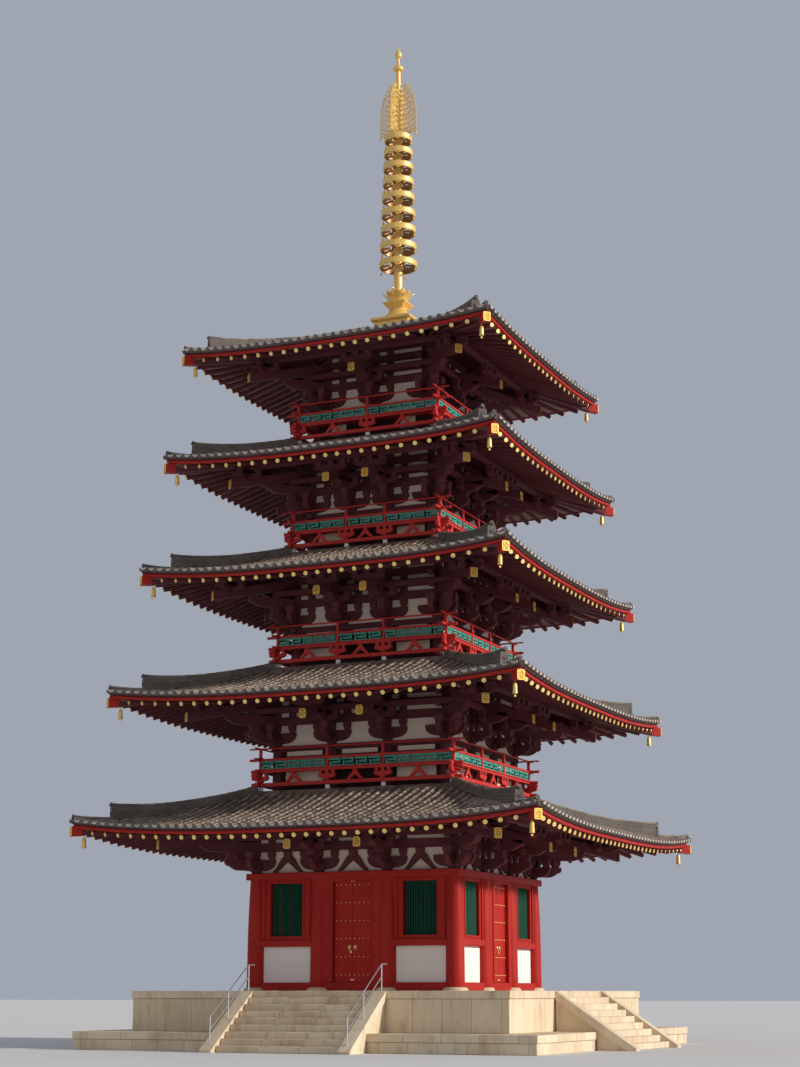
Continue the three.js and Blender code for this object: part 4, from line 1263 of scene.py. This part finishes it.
def leaning_pair(foot, top, spread):
    """Two straight bars leaning together under a small block, across the front at the origin."""
    peak = top - 0.05
    outline = [(0.0, peak), (0.0, peak - 0.15), (spread - 0.12, foot), (spread, foot), (0.05, peak)]
    leg = plate(outline, (-0.045, 0.045))
    return [leg, leg.mirror(), bearing_block(0.17, (peak - 0.02, top + 0.005), 0.12)]


def dress_balcony(storey, below, rail):
    """The balcony's rails, floor and lattice, and the blocks that it stands on."""
    name = f"balcony_{storey.number}"
    base = below.deck
    places = [-rail, *storey.bays, rail]
    walls = [-storey.ring, *storey.bays, storey.ring]
    recess = max(storey.ring + RECESS["past_wall"], rail - RECESS["behind_rail"])
    sill_top = base + BALCONY_SILL[2]
    floor_foot, floor_top = base + BALCONY_FLOOR[1], base + BALCONY_FLOOR[2]
    red = []
    for half, low, high, past in (BALCONY_SILL, BALCONY_FLOOR, BALCONY_RAIL):
        across = (-rail - past, rail + past)
        red.append(block(across, around(rail, half), (base + low, base + high), 0.01))
    ends = [(side * (rail + BALCONY_RAIL[3]), -rail, base + TOP_RAIL) for side in (-1, 1)]
    red.append(tube(ends, TOP_RAIL_RADIUS, 12))
    square = (-POST_HALF, POST_HALF)
    step_block = bearing_block(STEP_BLOCKS["width"], (base + STEP_BLOCKS["foot"], floor_foot + 0.005))
    posts = [
        block(square, square, (base + POST[0], base + POST[1])),
        bearing_block(0.15, (base + POST_BLOCK[0], base + POST_BLOCK[1])),
        bearing_block(0.2, (sill_top, base + SILL_BLOCK_TOP)),
        boat(SILL_ARM["half"], base + SILL_ARM["foot"], base + SILL_ARM["top"], SILL_ARM["thickness"]),
        *along(STEP_BLOCKS["offsets"], step_block),
    ]
    pair = leaning_pair(sill_top - 0.005, floor_foot + 0.005, 0.34)
    panels = []
    bands = []
    for place in places[:-1]:
        red += moved(posts, place, -rail)
    for (left, right), (wall_left, wall_right) in zip(pairwise(places), pairwise(walls)):
        middle = (left + right) / 2
        red += moved(pair, middle, -rail + 0.02)
        band = fret(right - left - 0.1, floor_top - 0.005, base + 1.08)
        bands += moved(band, middle, -rail)
        if len(storey.bays) == 1:
            centre, half = middle, RECESS["half"]
        elif abs(middle) > 0.01:
            centre, half = (wall_left + wall_right) / 2, (wall_right - wall_left) * RECESS["part"]
        else:
            continue
        panel_z = (base + RECESS["panel"][0], base + RECESS["panel"][1])
        panels.append(block(around(centre, half), around(recess, 0.02), panel_z, PLASTER_EASE))
    for end in (-1, 1):
        for low, run in CORNER_ARMS:
            x = sorted((end * rail, end * (rail + run)))
            red.append(block(x, around(rail, 0.05), (base + low, base + low + 0.1)))
    floor = square_ring(rail - 0.04, storey.ring, (base + 0.715, base + 0.75))
    planks = square_ring(rail + 0.1, rail - 0.3, (base + 0.745, base + 0.782), SMALL_EASE)
    back = square_ring(recess, recess - 0.06, (base, base + RECESS["panel"][1]), PLASTER_EASE)
    foot_block = block((-0.08, 0.08), (rail - 0.1, rail - 0.01), (base, base + BALCONY_SILL[1]))
    blocks = along(places[:-1], foot_block)
    lattice_post = block(square, around(rail, 0.045), (base + 0.75, base + 1.09))
    add_piece(f"{name}_rails", [round_about(red), floor, planks], LIT_BALCONY_RED, [name])
    for part, forms, finish, slot in (
        # The balcony's back board is a dark sheet of painted shade.
        ("recess", [back], PAINTED_SHADE_DARK, "red_timber"),
        ("panels", [round_about(panels)], SHADED_PLASTER, "white_plaster"),
        ("blocks", [round_about(blocks)], PLASTER, "white_plaster"),
        ("lattice", [round_about(bands)], TEAL, "green_paint"),
        ("lattice_posts", [round_about(along(places[:-1], lattice_post))], LIT_BALCONY_RED, "red_timber"),
    ):
        add_piece(f"{name}_{part}", forms, finish)


# Ground storey

def swelling_column(foot, head):
    """A ground column, widest at the foot and drawn in to the head."""
    profile = [(COLUMN_FOOT - 0.006, foot), (COLUMN_FOOT, foot + 0.012)]
    for up in np.linspace(0, 1, 9)[1:]:
        belly = 0.012 * min(up / 0.45, 1)
        neck = (COLUMN_FOOT - COLUMN_HEAD - 0.012) * max(0.0, (up - 0.45) / 0.55) ** 1.4
        profile.append((COLUMN_FOOT - belly - neck, foot + (head - foot) * up))
    return lathe(profile, 32)


def dress_ground_frame():
    """Columns, beams, sills and door posts of the ground storey."""
    storey = STOREYS[0]
    ring, bay = storey.ring, storey.bays[1]
    column = swelling_column(PODIUM_TOP + 0.06, storey.head)
    columns = round_about(along((-ring, *storey.bays), column.shift(0, -ring)))
    add_piece("ground_columns", [columns], VERMILION, ["ground_frame"])
    back, front = ring - FRAME_IN, ring + FRAME_OUT
    head_beam = square_ring(ring + HEAD_OUT, back, (HEAD_BOTTOM, storey.head), 0.02)
    sill = square_ring(front, back, (PODIUM_TOP + 0.002, SILL_TOP), 0.015)
    lip_reach = front + 0.035
    lintel_z = (HEAD_BOTTOM - 0.1, HEAD_BOTTOM)
    forms = [block((-DOOR_HALF, DOOR_HALF), (front - 0.04, lip_reach), lintel_z, TRIM_EASE)]
    for hand in HANDS.values():
        across = sorted((hand * bay, hand * ring))
        jamb = sorted((hand * DOOR_HALF, hand * bay))
        lip = sorted((hand * DOOR_HALF, hand * (DOOR_HALF + 0.07)))
        forms += [
            block(across, (back, front + 0.01), RAIL, 0.015),
            block(jamb, (back, front), (SILL_TOP - 0.01, HEAD_BOTTOM + 0.01)),
            block(lip, (front - 0.02, lip_reach), (SILL_TOP, HEAD_BOTTOM), TRIM_EASE),
        ]
        for place in (hand * (bay + COLUMN_FOOT + 0.03), hand * (ring - COLUMN_FOOT - 0.03)):
            stile = around(place, 0.05)
            forms.append(block(stile, (ring + 0.1, front - 0.02), (RAIL[1], HEAD_BOTTOM), TRIM_EASE))
    add_piece("ground_timbers", [round_about(forms), head_beam, sill], VERMILION)


def dress_windows():
    """The windows' upright bars and their trim."""
    storey = STOREYS[0]
    middle = (storey.bays[1] + storey.ring) / 2
    front = storey.ring + WINDOW_OUT
    low, high = WINDOW
    width, gap = WINDOW_TRIM["width"], WINDOW_TRIM["gap"]
    reach = (front - WINDOW_TRIM["back"], front + WINDOW_TRIM["front"])
    pitch = WINDOW_HALF * 2 / (WINDOW_BARS + 1)
    bar = lathe([(BAR_RADIUS, low), (BAR_RADIUS, high)], 4).shift(0, -storey.ring - 0.03)
    bars = []
    trim = []
    for centre in (-middle, middle):
        left, right = centre - WINDOW_HALF, centre + WINDOW_HALF
        bars += along([left + pitch * step for step in range(1, WINDOW_BARS + 1)], bar)
        upright, level_run = (low - width, high + width), (left - 0.01, right + 0.01)
        for across, z in (
            ((left - gap - width, left - gap), upright),
            ((right + gap, right + gap + width), upright),
            (level_run, (low - width, low - 0.002)),
            (level_run, (high + 0.002, high + width)),
        ):
            trim.append(block(across, reach, z, TRIM_EASE))
    add_piece("window_bars", [round_about(bars)], GREEN)
    add_piece("window_trim", [round_about(trim)], VERMILION)


def door_fittings():
    """Studs, a ring pull and two straps on the right-hand leaf of the front doorway."""
    stud = lathe([(0.025, -0.004), (0.024, 0.008), (0.018, 0.022), (0.006, 0.03)], 10).tip(QUARTER)
    spots = [(STUD_PITCH * (step + 0.5), -LEAF_FACE, z) for z in STUD_ROWS for step in range(4)]
    rose = lathe([(0.052, -0.004), (0.05, 0.01), (0.02, 0.024), (0.008, 0.03)], 14).tip(QUARTER)
    ring = hoop(0.05, 0.009, 14, 6).tip(QUARTER).shift(0, -0.025, -0.05)
    pull = joined([rose, ring]).shift(PULL[0], -LEAF_FACE, PULL[1])
    straps = [block((0.012, 0.07), (LEAF_FACE - 0.004, LEAF_FACE + 0.008), around(z, 0.03), 0.003)
              for z in STRAP_HEIGHTS]
    return [copies(stud, spots), pull, *straps]


def lock_form():
    """A box lock hung by a chain at the middle of the doorway, on one leaf."""
    links = [(-0.1, 0.03, 3.38), (-0.06, 0.035, 3.3), (-0.03, 0.03, 3.27)]
    chain = tube([(x, -LEAF_FACE - out, z) for x, out, z in links], 0.008, 6)
    return [chain, block((-0.075, -0.012), (LEAF_FACE + 0.008, LEAF_FACE + 0.04), (3.2, 3.28), SMALL_EASE)]


def dress_doors():
    """The metal on each leaf, riding with it."""
    right = joined(door_fittings())
    left = joined([right.mirror(), *lock_form()])
    for side, *leaves in zip(SIDES, four_turns(right), four_turns(left)):
        for hand, form in zip(("right", "left"), leaves):
            door = f"{side}_door_{hand}"
            add_piece(f"{door}_fittings", [form], LIT_DISC_GILT, body=door, sharp=ROUND_EDGES)


# Podium and stairs

def stone_row(half, reach, z, length):
    """Stones along the front between the corners, each with open joints."""
    edges = np.linspace(-half, half, round(half * 2 / length) + 1)
    return [block((left + HALF_JOINT, right - HALF_JOINT), reach, z)
            for left, right in pairwise(edges)]


def dress_podium():
    """Panel and cap stones round each tier, and its paving."""
    for tier in PODIUM:
        half, low, high = tier["half"], tier["low"], tier["high"]
        cap = high - CAP["height"]
        inside = half - CAP["width"]
        panel_corner, cap_corner = (half - 0.307, half - 0.04), (inside + HALF_JOINT, half)
        stones = [
            *stone_row(half - 0.31, (half - 0.3, half - 0.04), (low, cap - 0.004), PANEL_LENGTH),
            block(panel_corner, panel_corner, (low, cap - 0.004)),
            *stone_row(inside, (inside, half), (cap, high), CAP["length"]),
            block(cap_corner, cap_corner, (cap, high)),
        ]
        edges = np.linspace(-inside, inside, round(inside * 2 / PAVING) + 1)
        rows = [(near + HALF_JOINT, far - HALF_JOINT) for near, far in pairwise(edges)]
        paving = [box(x, reach, (high - 0.1, high - 0.002)) for x in rows for reach in rows]
        core = (-tier["core"], tier["core"])
        forms = [round_about(stones), box(core, core, (low + 0.002, high - 0.02)), *paving]
        if tier is PODIUM[-1]:
            forms.append(base_stones())
        add_piece(f"{tier['name']}_stones", forms, STONE, [tier["name"]])


def base_stones():
    """The round stones under the ground storey's columns."""
    storey = STOREYS[0]
    profile = ((1.0, -0.02), (1.0, 0.03), (0.97, 0.065), (0.9, 0.095), (0.8, 0.115), (0.74, 0.12))
    base = lathe([(BASE_STONE * part, PODIUM_TOP + z) for part, z in profile], 28)
    return round_about(along((-storey.ring, *storey.bays), base.shift(0, -storey.ring)))


def stair_forms():
    """Steps of three stones each between two sloping cheeks with sunk sides."""
    foot, head = STAIR["foot"], STAIR["head"]
    rise = PODIUM_TOP / STAIR["risers"]
    run = (foot - head) / STAIR["risers"]
    inside = STAIR["half"] - STAIR["cheek"]
    edges = np.linspace(-inside, inside, 4)
    forms = []
    for step in range(1, STAIR["risers"]):
        face = foot - run * step
        reach, z = (face - run - 0.04, face), (max(0.002, rise * (step - 1) - 0.02), rise * step)
        for left, right in pairwise(edges):
            forms.append(block((left + HALF_JOINT, right - HALF_JOINT), reach, z, 0.014))
    under = PODIUM_TOP - STRINGER_DEPTH
    low_end = head + under / STAIR_SLOPE
    stringer = [(head, PODIUM_TOP), (foot, STAIR["toe"]), (foot, 0.0), (low_end, 0.0), (head, under)]
    tier = PODIUM[0]
    infill = [(head, under + 0.02), (low_end - 0.02, 0.0), (tier["half"], 0.0),
              (tier["half"], tier["high"]), (head, tier["high"])]
    for hand in HANDS.values():
        outer = sorted((hand * STAIR["half"], hand * inside))
        sunk = sorted((hand * (STAIR["half"] - 0.05), hand * (inside + 0.03)))
        forms += [side_plate(stringer, outer), side_plate(infill, sunk)]
    return forms


def dress_stairs():
    for side, form in zip(SIDES, four_turns(joined(stair_forms()))):
        add_piece(f"{side}_stair_stones", [form], STONE, [f"{side}_stair"])


def dress_handrails():
    """Two rails on posts up each cheek of the front stair."""
    foot, head = STAIR["foot"] - HANDRAIL["foot_inset"], STAIR["head"] - HANDRAIL["head_inset"]
    low, high, top = HANDRAIL["low"], HANDRAIL["high"], PODIUM_TOP + HANDRAIL["high"]

    def cheek(reach):
        return PODIUM_TOP - STAIR_SLOPE * (reach - STAIR["head"])

    for hand, sign in HANDS.items():
        x = sign * (STAIR["half"] - STAIR["cheek"] / 2)
        forms = []
        for height, level_end in (
            (low, [(0.0, low)]), (high, [(0.02, high - 0.004), (0.08, high), (0.4, high)]),
        ):
            path = [(x, -foot, cheek(foot) + height), (x, -head - 0.04, PODIUM_TOP + height - 0.02)]
            path += [(x, -head + back, PODIUM_TOP + z) for back, z in level_end]
            forms.append(tube(path, HANDRAIL["radius"], 10))
        for reach in (foot - 0.045, (foot + STAIR["head"] + 0.045) / 2):
            post = [(x, -reach, cheek(reach) - 0.02), (x, -reach, cheek(reach) + high)]
            forms.append(tube(post, HANDRAIL["post"], 10))
        forms.append(tube([(x, -head, PODIUM_TOP), (x, -head, top)], HANDRAIL["post"], 10))
        name = f"front_handrail_{hand}"
        add_piece(f"{name}_tubes", forms, STEEL, [name], sharp=ROUND_EDGES)


# Finial

def petal(radius, foot, top, flare):
    """A pointed lotus petal, cupped outward, facing the front."""
    rows = []
    for up, narrow in ((0.0, 1.0), (0.25, 1.0), (0.5, 1.0), (0.75, 1.0), (0.92, 0.45), (1.0, 0.08)):
        half = 0.16 * math.sin(math.pi * (0.22 + 0.6 * up)) * narrow
        out = radius + flare * up ** 1.6
        z = foot + (top - foot) * up
        rows.append([(across, -out + cup, z) for across, cup in (
            (-half, 0.03), (0.0, -0.01), (half, 0.03), (0.0, 0.03),
        )])
    return lofts([rows])


def finial_base():
    """The box on the roof, the bowl, the moulded slab and the lotus."""
    top = FINIAL["box_top"]
    deck = STOREYS[-1].deck
    half = FINIAL_BOX_HALF
    body = square_lathe([(half - 0.09, deck), (half - 0.09, deck + 0.07), (half - 0.115, deck + 0.08),
                         (half - 0.115, top - 0.18), (half - 0.07, top - 0.15), (half - 0.03, top - 0.12),
                         (half, top - 0.11), (half, top - 0.02), (half - 0.02, top)])
    dividers = [block(around(x, 0.022), (half - 0.13, half - 0.09), (deck + 0.07, top - 0.16), SMALL_EASE)
                for x in (-half + 0.14, 0.0, half - 0.14)]
    low = top - 0.005
    curve = ((0.66, 0.0), (0.655, 0.03), (0.61, 0.08), (0.55, 0.16), (0.47, 0.27), (0.4, 0.37),
             (0.345, 0.45))
    bowl = lathe([*[(radius, low + up) for radius, up in curve], (0.33, FINIAL["bowl_top"])], 36)
    slab_low, slab_top = FINIAL["slab"]
    slab = square_lathe([(0.33, FINIAL["bowl_top"] - 0.01), (0.33, slab_low - 0.02), (0.39, slab_low),
                         (0.39, slab_low + 0.035), (0.43, slab_low + 0.04), (0.43, slab_low + 0.085),
                         (0.47, slab_low + 0.09), (0.47, slab_top)])
    profile = ((0.3, -0.01), (0.36, 0.1), (0.34, 0.22), (0.2, 0.23))
    cup = lathe([(radius, slab_top + up) for radius, up in profile], 24)
    petals = []
    for row, (foot, tip, flare) in enumerate(((0.02, 0.55, 0.2), (0.05, 0.42, 0.27))):
        form = petal(0.33 + 0.03 * row, slab_top + foot, slab_top + tip, flare)
        angles = (np.arange(PETALS) + 0.5 * row) * 2 * math.pi / PETALS
        petals.append(copies(form, np.zeros((PETALS, 3)), angles))
    return [body, round_about(dividers), bowl, slab, cup, *petals]


def ring_places():
    """Height and radius of each ring of the mast, from the lowest up."""
    wide, narrow = FINIAL["radii"]
    for step in range(FINIAL["count"]):
        up = step / (FINIAL["count"] - 1)
        z = FINIAL["first"] + (FINIAL["last"] - FINIAL["first"]) * up * (1.1 - 0.1 * up)
        yield z, wide + (narrow - wide) * up


def band_ring(outer, inner, low, high, ease):
    """A flat hoop standing on edge, its rims a little proud of its face."""
    wall = [(inner, low), (outer - ease, low), (outer, low + ease), (outer - ease, low + 4 * ease),
            (outer - ease, high - 4 * ease), (outer, high - ease), (outer - ease, high), (inner, high)]
    rings = [[(radius * x, radius * y, z) for radius, z in wall] for x, y in circle(1.0, 32)]
    return lofts([rings], closed=True)


def finial_rings():
    """The mast with its rings, and apart from them the rings' insides and arms, which are drawn dark as
    painted shade.
    """
    foot = FINIAL["slab"][1] + 0.2
    bright = [lathe([(0.17, foot), (0.17, 30.0), (0.13, FINIAL["flame"][0])], 20)]
    # The rings' insides and arms, kept apart for the dark painted shade.
    dark = []
    drop = joined([
        tube([(0, 0, 0.02), (0, 0, -0.07)], 0.009, 6),
        lathe([(0.012, -0.06), (0.03, -0.09), (0.034, -0.14), (0.048, -0.18)], 10),
    ])
    for z, radius in ring_places():
        low, high = z - 0.12, z + 0.125
        bright.append(band_ring(radius, radius - 0.04, low, high, 0.01))
        dark.append(band_ring(radius - 0.041, radius - 0.06, low + 0.004, high - 0.004, 0.001))
        collar = lathe([(0.15, z - 0.1), (0.2, z - 0.06), (0.2, z + 0.06), (0.15, z + 0.1)], 20)
        scroll = hoop(0.07, 0.018, 14, 6).tip(QUARTER).turn(QUARTER).shift(0.0, -0.29, z + 0.04)
        hung = drop.shift(0.0, -radius + 0.02, z - 0.12)
        arm = tube([(0, -0.16, z + 0.01), (0, -0.26, z - 0.06), (0, -0.38, z - 0.05),
                    (0, -0.5 * (0.38 + radius), z - 0.11), (0, -radius + 0.05, z - 0.09)],
                   [0.03, 0.04, 0.045, 0.05, 0.04], 8)
        bright += [collar, round_about([scroll, hung])]
        dark += [round_about([arm]), round_about([arm.turn(EIGHTH)])]
    return bright, dark


def tongue(start, middle, end, width, thickness):
    """A flat flame tongue in the plane across the front, from root to point."""
    parts = np.linspace(0, 1, 8)
    path = np.array([(1 - t) ** 2 * np.array(start) + 2 * t * (1 - t) * np.array(middle)
                     + t ** 2 * np.array(end) for t in parts])
    run = np.gradient(path, axis=0)
    normal = np.stack([-run[:, 1], run[:, 0]], axis=1) / np.linalg.norm(run, axis=1)[:, None]
    size = width * (1 - parts ** 1.6)[:, None] * 0.5 + 0.006
    rings = []
    for centre, side, half in zip(path, normal, size):
        (x, z), (far_x, far_z) = centre + side * half, centre - side * half
        rings.append([(x, -thickness / 2, z), (far_x, -thickness / 2, far_z),
                      (far_x, thickness / 2, far_z), (x, thickness / 2, z)])
    return lofts([rings])


def curl(across, height, radius, start):
    """A small scroll in the plane across the front, winding in from its outer end."""
    parts = np.linspace(0, 1, 10)
    size = radius * (1 - 0.6 * parts)
    angle = start + 5.4 * parts
    path = np.stack([across + size * np.cos(angle), np.zeros(10), height + size * np.sin(angle)], axis=1)
    return tube(path, 0.016 - 0.006 * parts, 5)


def finial_flame():
    """The stem, and a leaf of flame tongues and scrolls on each of its four sides."""
    low, high = FINIAL["flame"]
    height = high - low
    half = FINIAL["flame_half"]

    def reach_at(up):
        return half * math.sqrt(max(0.06, 1 - up ** 4))

    stem = lathe([(0.13, low + 0.001), (0.16, low + 0.03), (0.16, low + 0.12), (0.11, low + 0.16),
                  (0.1, high), (0.09, high + 0.2)], 16)
    leaf = []
    for up in np.linspace(0.08, 0.9, 10):
        root = (0.07, low + height * (up - 0.06))
        bend = (reach_at(up) * 0.6, low + height * (up - 0.09))
        leaf.append(tongue(root, bend, (reach_at(up), low + height * (up + 0.04)), 0.06, 0.03))
    for up in np.linspace(0.04, 0.94, 16):
        foot = reach_at(up) - 0.07
        z = low + height * up
        bend, end = (foot + 0.07, z - 0.02), (foot + 0.09, z + 0.09)
        leaf.append(tongue((foot, z - 0.04), bend, end, 0.06, 0.026))
    for row, rise in enumerate(np.arange(0.09, height - 0.06, CURL_PITCH * 0.87)):
        edge = reach_at(rise / height) - 0.07
        for across in np.arange(0.23 + CURL_PITCH / 2 * (row % 2), edge, CURL_PITCH):
            leaf.append(curl(across, low + rise, CURL_RADIUS, float(chance.uniform(0, 2 * math.pi))))
    leaf.append(tongue((0.08, low + 0.06), (0.45, low + 0.02), (half + 0.03, low + 0.06), 0.06, 0.03))
    bell = lathe([(0.008, -0.04), (0.022, -0.06), (0.026, -0.13), (0.036, -0.16)], 10)
    hook = tube([(0, 0, 0.02), (0, 0, -0.05)], 0.008, 6)
    for out, up in ((half + 0.01, 0.03), (half * 0.62, 0.02)):
        leaf += moved((bell, hook), out, 0.0, low + height * up)
    return [stem, *four_turns(joined(leaf))]


def finial_jewel():
    """The ball on the flame's stem and the jewel above it."""
    low = FINIAL["flame"][1] + 0.2
    wide, tall = FINIAL["ball_size"]
    angles = np.linspace(-1.15, 1.15, 11)
    ball = [(wide * math.cos(angle), FINIAL["ball"] + tall * math.sin(angle)) for angle in angles]
    jewel = [(0.075, 38.36), (0.055, 38.5), (0.05, 38.64), (0.1, 38.67), (0.138, 38.72), (0.145, 38.79),
             (0.138, 38.86), (0.1, 38.93), (0.055, 38.99), (0.03, 39.07), (0.006, FINIAL["top"])]
    return [lathe([(0.09, low), (0.09, 38.0), *ball, *jewel], 24)]


def dress_finial():
    bright, dark = finial_rings()
    add_piece("finial_base_gilt", finial_base(), GILT, ["finial_base"])
    add_piece("finial_rings_gilt", bright, GILT, ["finial_rings"], sharp=ROUND_EDGES)
    add_piece("finial_rings_painted_shade", dark, PAINTED_SHADE_GILT, sharp=ROUND_EDGES)
    add_piece("finial_flame_gilt", finial_flame(), GILT, ["finial_flame"])
    add_piece("finial_jewel_gilt", finial_jewel(), GILT, ["finial_jewel"])


# The frame's own nodes that stay in sight

def finish_frame_nodes():
    """Looks for the ground panels, window frames and leaves, which are shown as they are."""
    for side in SIDES:
        for hand in HANDS:
            for kind, finish in (("panel", PLASTER), ("window", VERMILION), ("door", VERMILION)):
                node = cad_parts[f"{side}_{kind}_{hand}"]
                node.data.materials.clear()
                node.data.materials.append(finish)


# Studio

def build_studio():
    finish = Finish("studio_floor")
    colour = finish.mix(finish.noise(0.15, 3.0), rgb(0.66, 0.65, 0.63), rgb(0.72, 0.71, 0.69))
    finish.done(Base_Color=colour, Roughness=0.9)
    reach = FLOOR_REACH
    corners = [(-reach, -reach, 0), (reach, -reach, 0), (reach, reach, 0), (-reach, reach, 0)]
    mesh = bpy.data.meshes.new("studio_floor")
    mesh.from_pydata(corners, [], [(0, 1, 2, 3)])
    mesh.materials.append(finish.material)
    floor = bpy.data.objects.new("studio_floor", mesh)
    bpy.context.scene.collection.objects.link(floor)

    world = bpy.data.worlds.new("studio")
    world.use_nodes = True
    background = world.node_tree.nodes["Background"]
    background.inputs["Color"].default_value = SKY
    background.inputs["Strength"].default_value = SKY_STRENGTH
    bpy.context.scene.world = world

    for sun in SUNS:
        light = bpy.data.lights.new(sun["name"], "SUN")
        light.energy = sun["energy"]
        light.angle = math.radians(sun["spread"])
        light.color = sun["colour"]
        lamp = bpy.data.objects.new(sun["name"], light)
        lamp.rotation_euler = (math.radians(90 - sun["height"]), 0.0, math.radians(sun["heading"]))
        bpy.context.scene.collection.objects.link(lamp)


def set_camera():
    data = bpy.data.cameras.new("photo_view")
    data.sensor_fit = "VERTICAL"
    data.sensor_height = PICTURE_HEIGHT
    data.lens = LENS
    data.clip_end = CLIP_END
    camera = bpy.data.objects.new("photo_view", data)
    camera.location = EYE
    camera.rotation_euler = (math.radians(90 + EYE_PITCH), 0.0, math.radians(EYE_HEADING))
    bpy.context.scene.collection.objects.link(camera)
    bpy.context.scene.camera = camera
    bpy.context.scene.view_settings.view_transform = "Standard"


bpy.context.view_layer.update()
set_camera()
build_studio()
finish_frame_nodes()
dress_podium()
dress_stairs()
dress_handrails()
dress_ground_frame()
dress_windows()
dress_doors()
for storey in STOREYS:
    dress_roof(storey)
    dress_eaves(storey)
    dress_brackets(storey)
for storey, below, rail in zip(STOREYS[1:], STOREYS[:-1], RAILS):
    dress_upper_wall(storey, below)
    dress_balcony(storey, below, rail)
dress_finial()
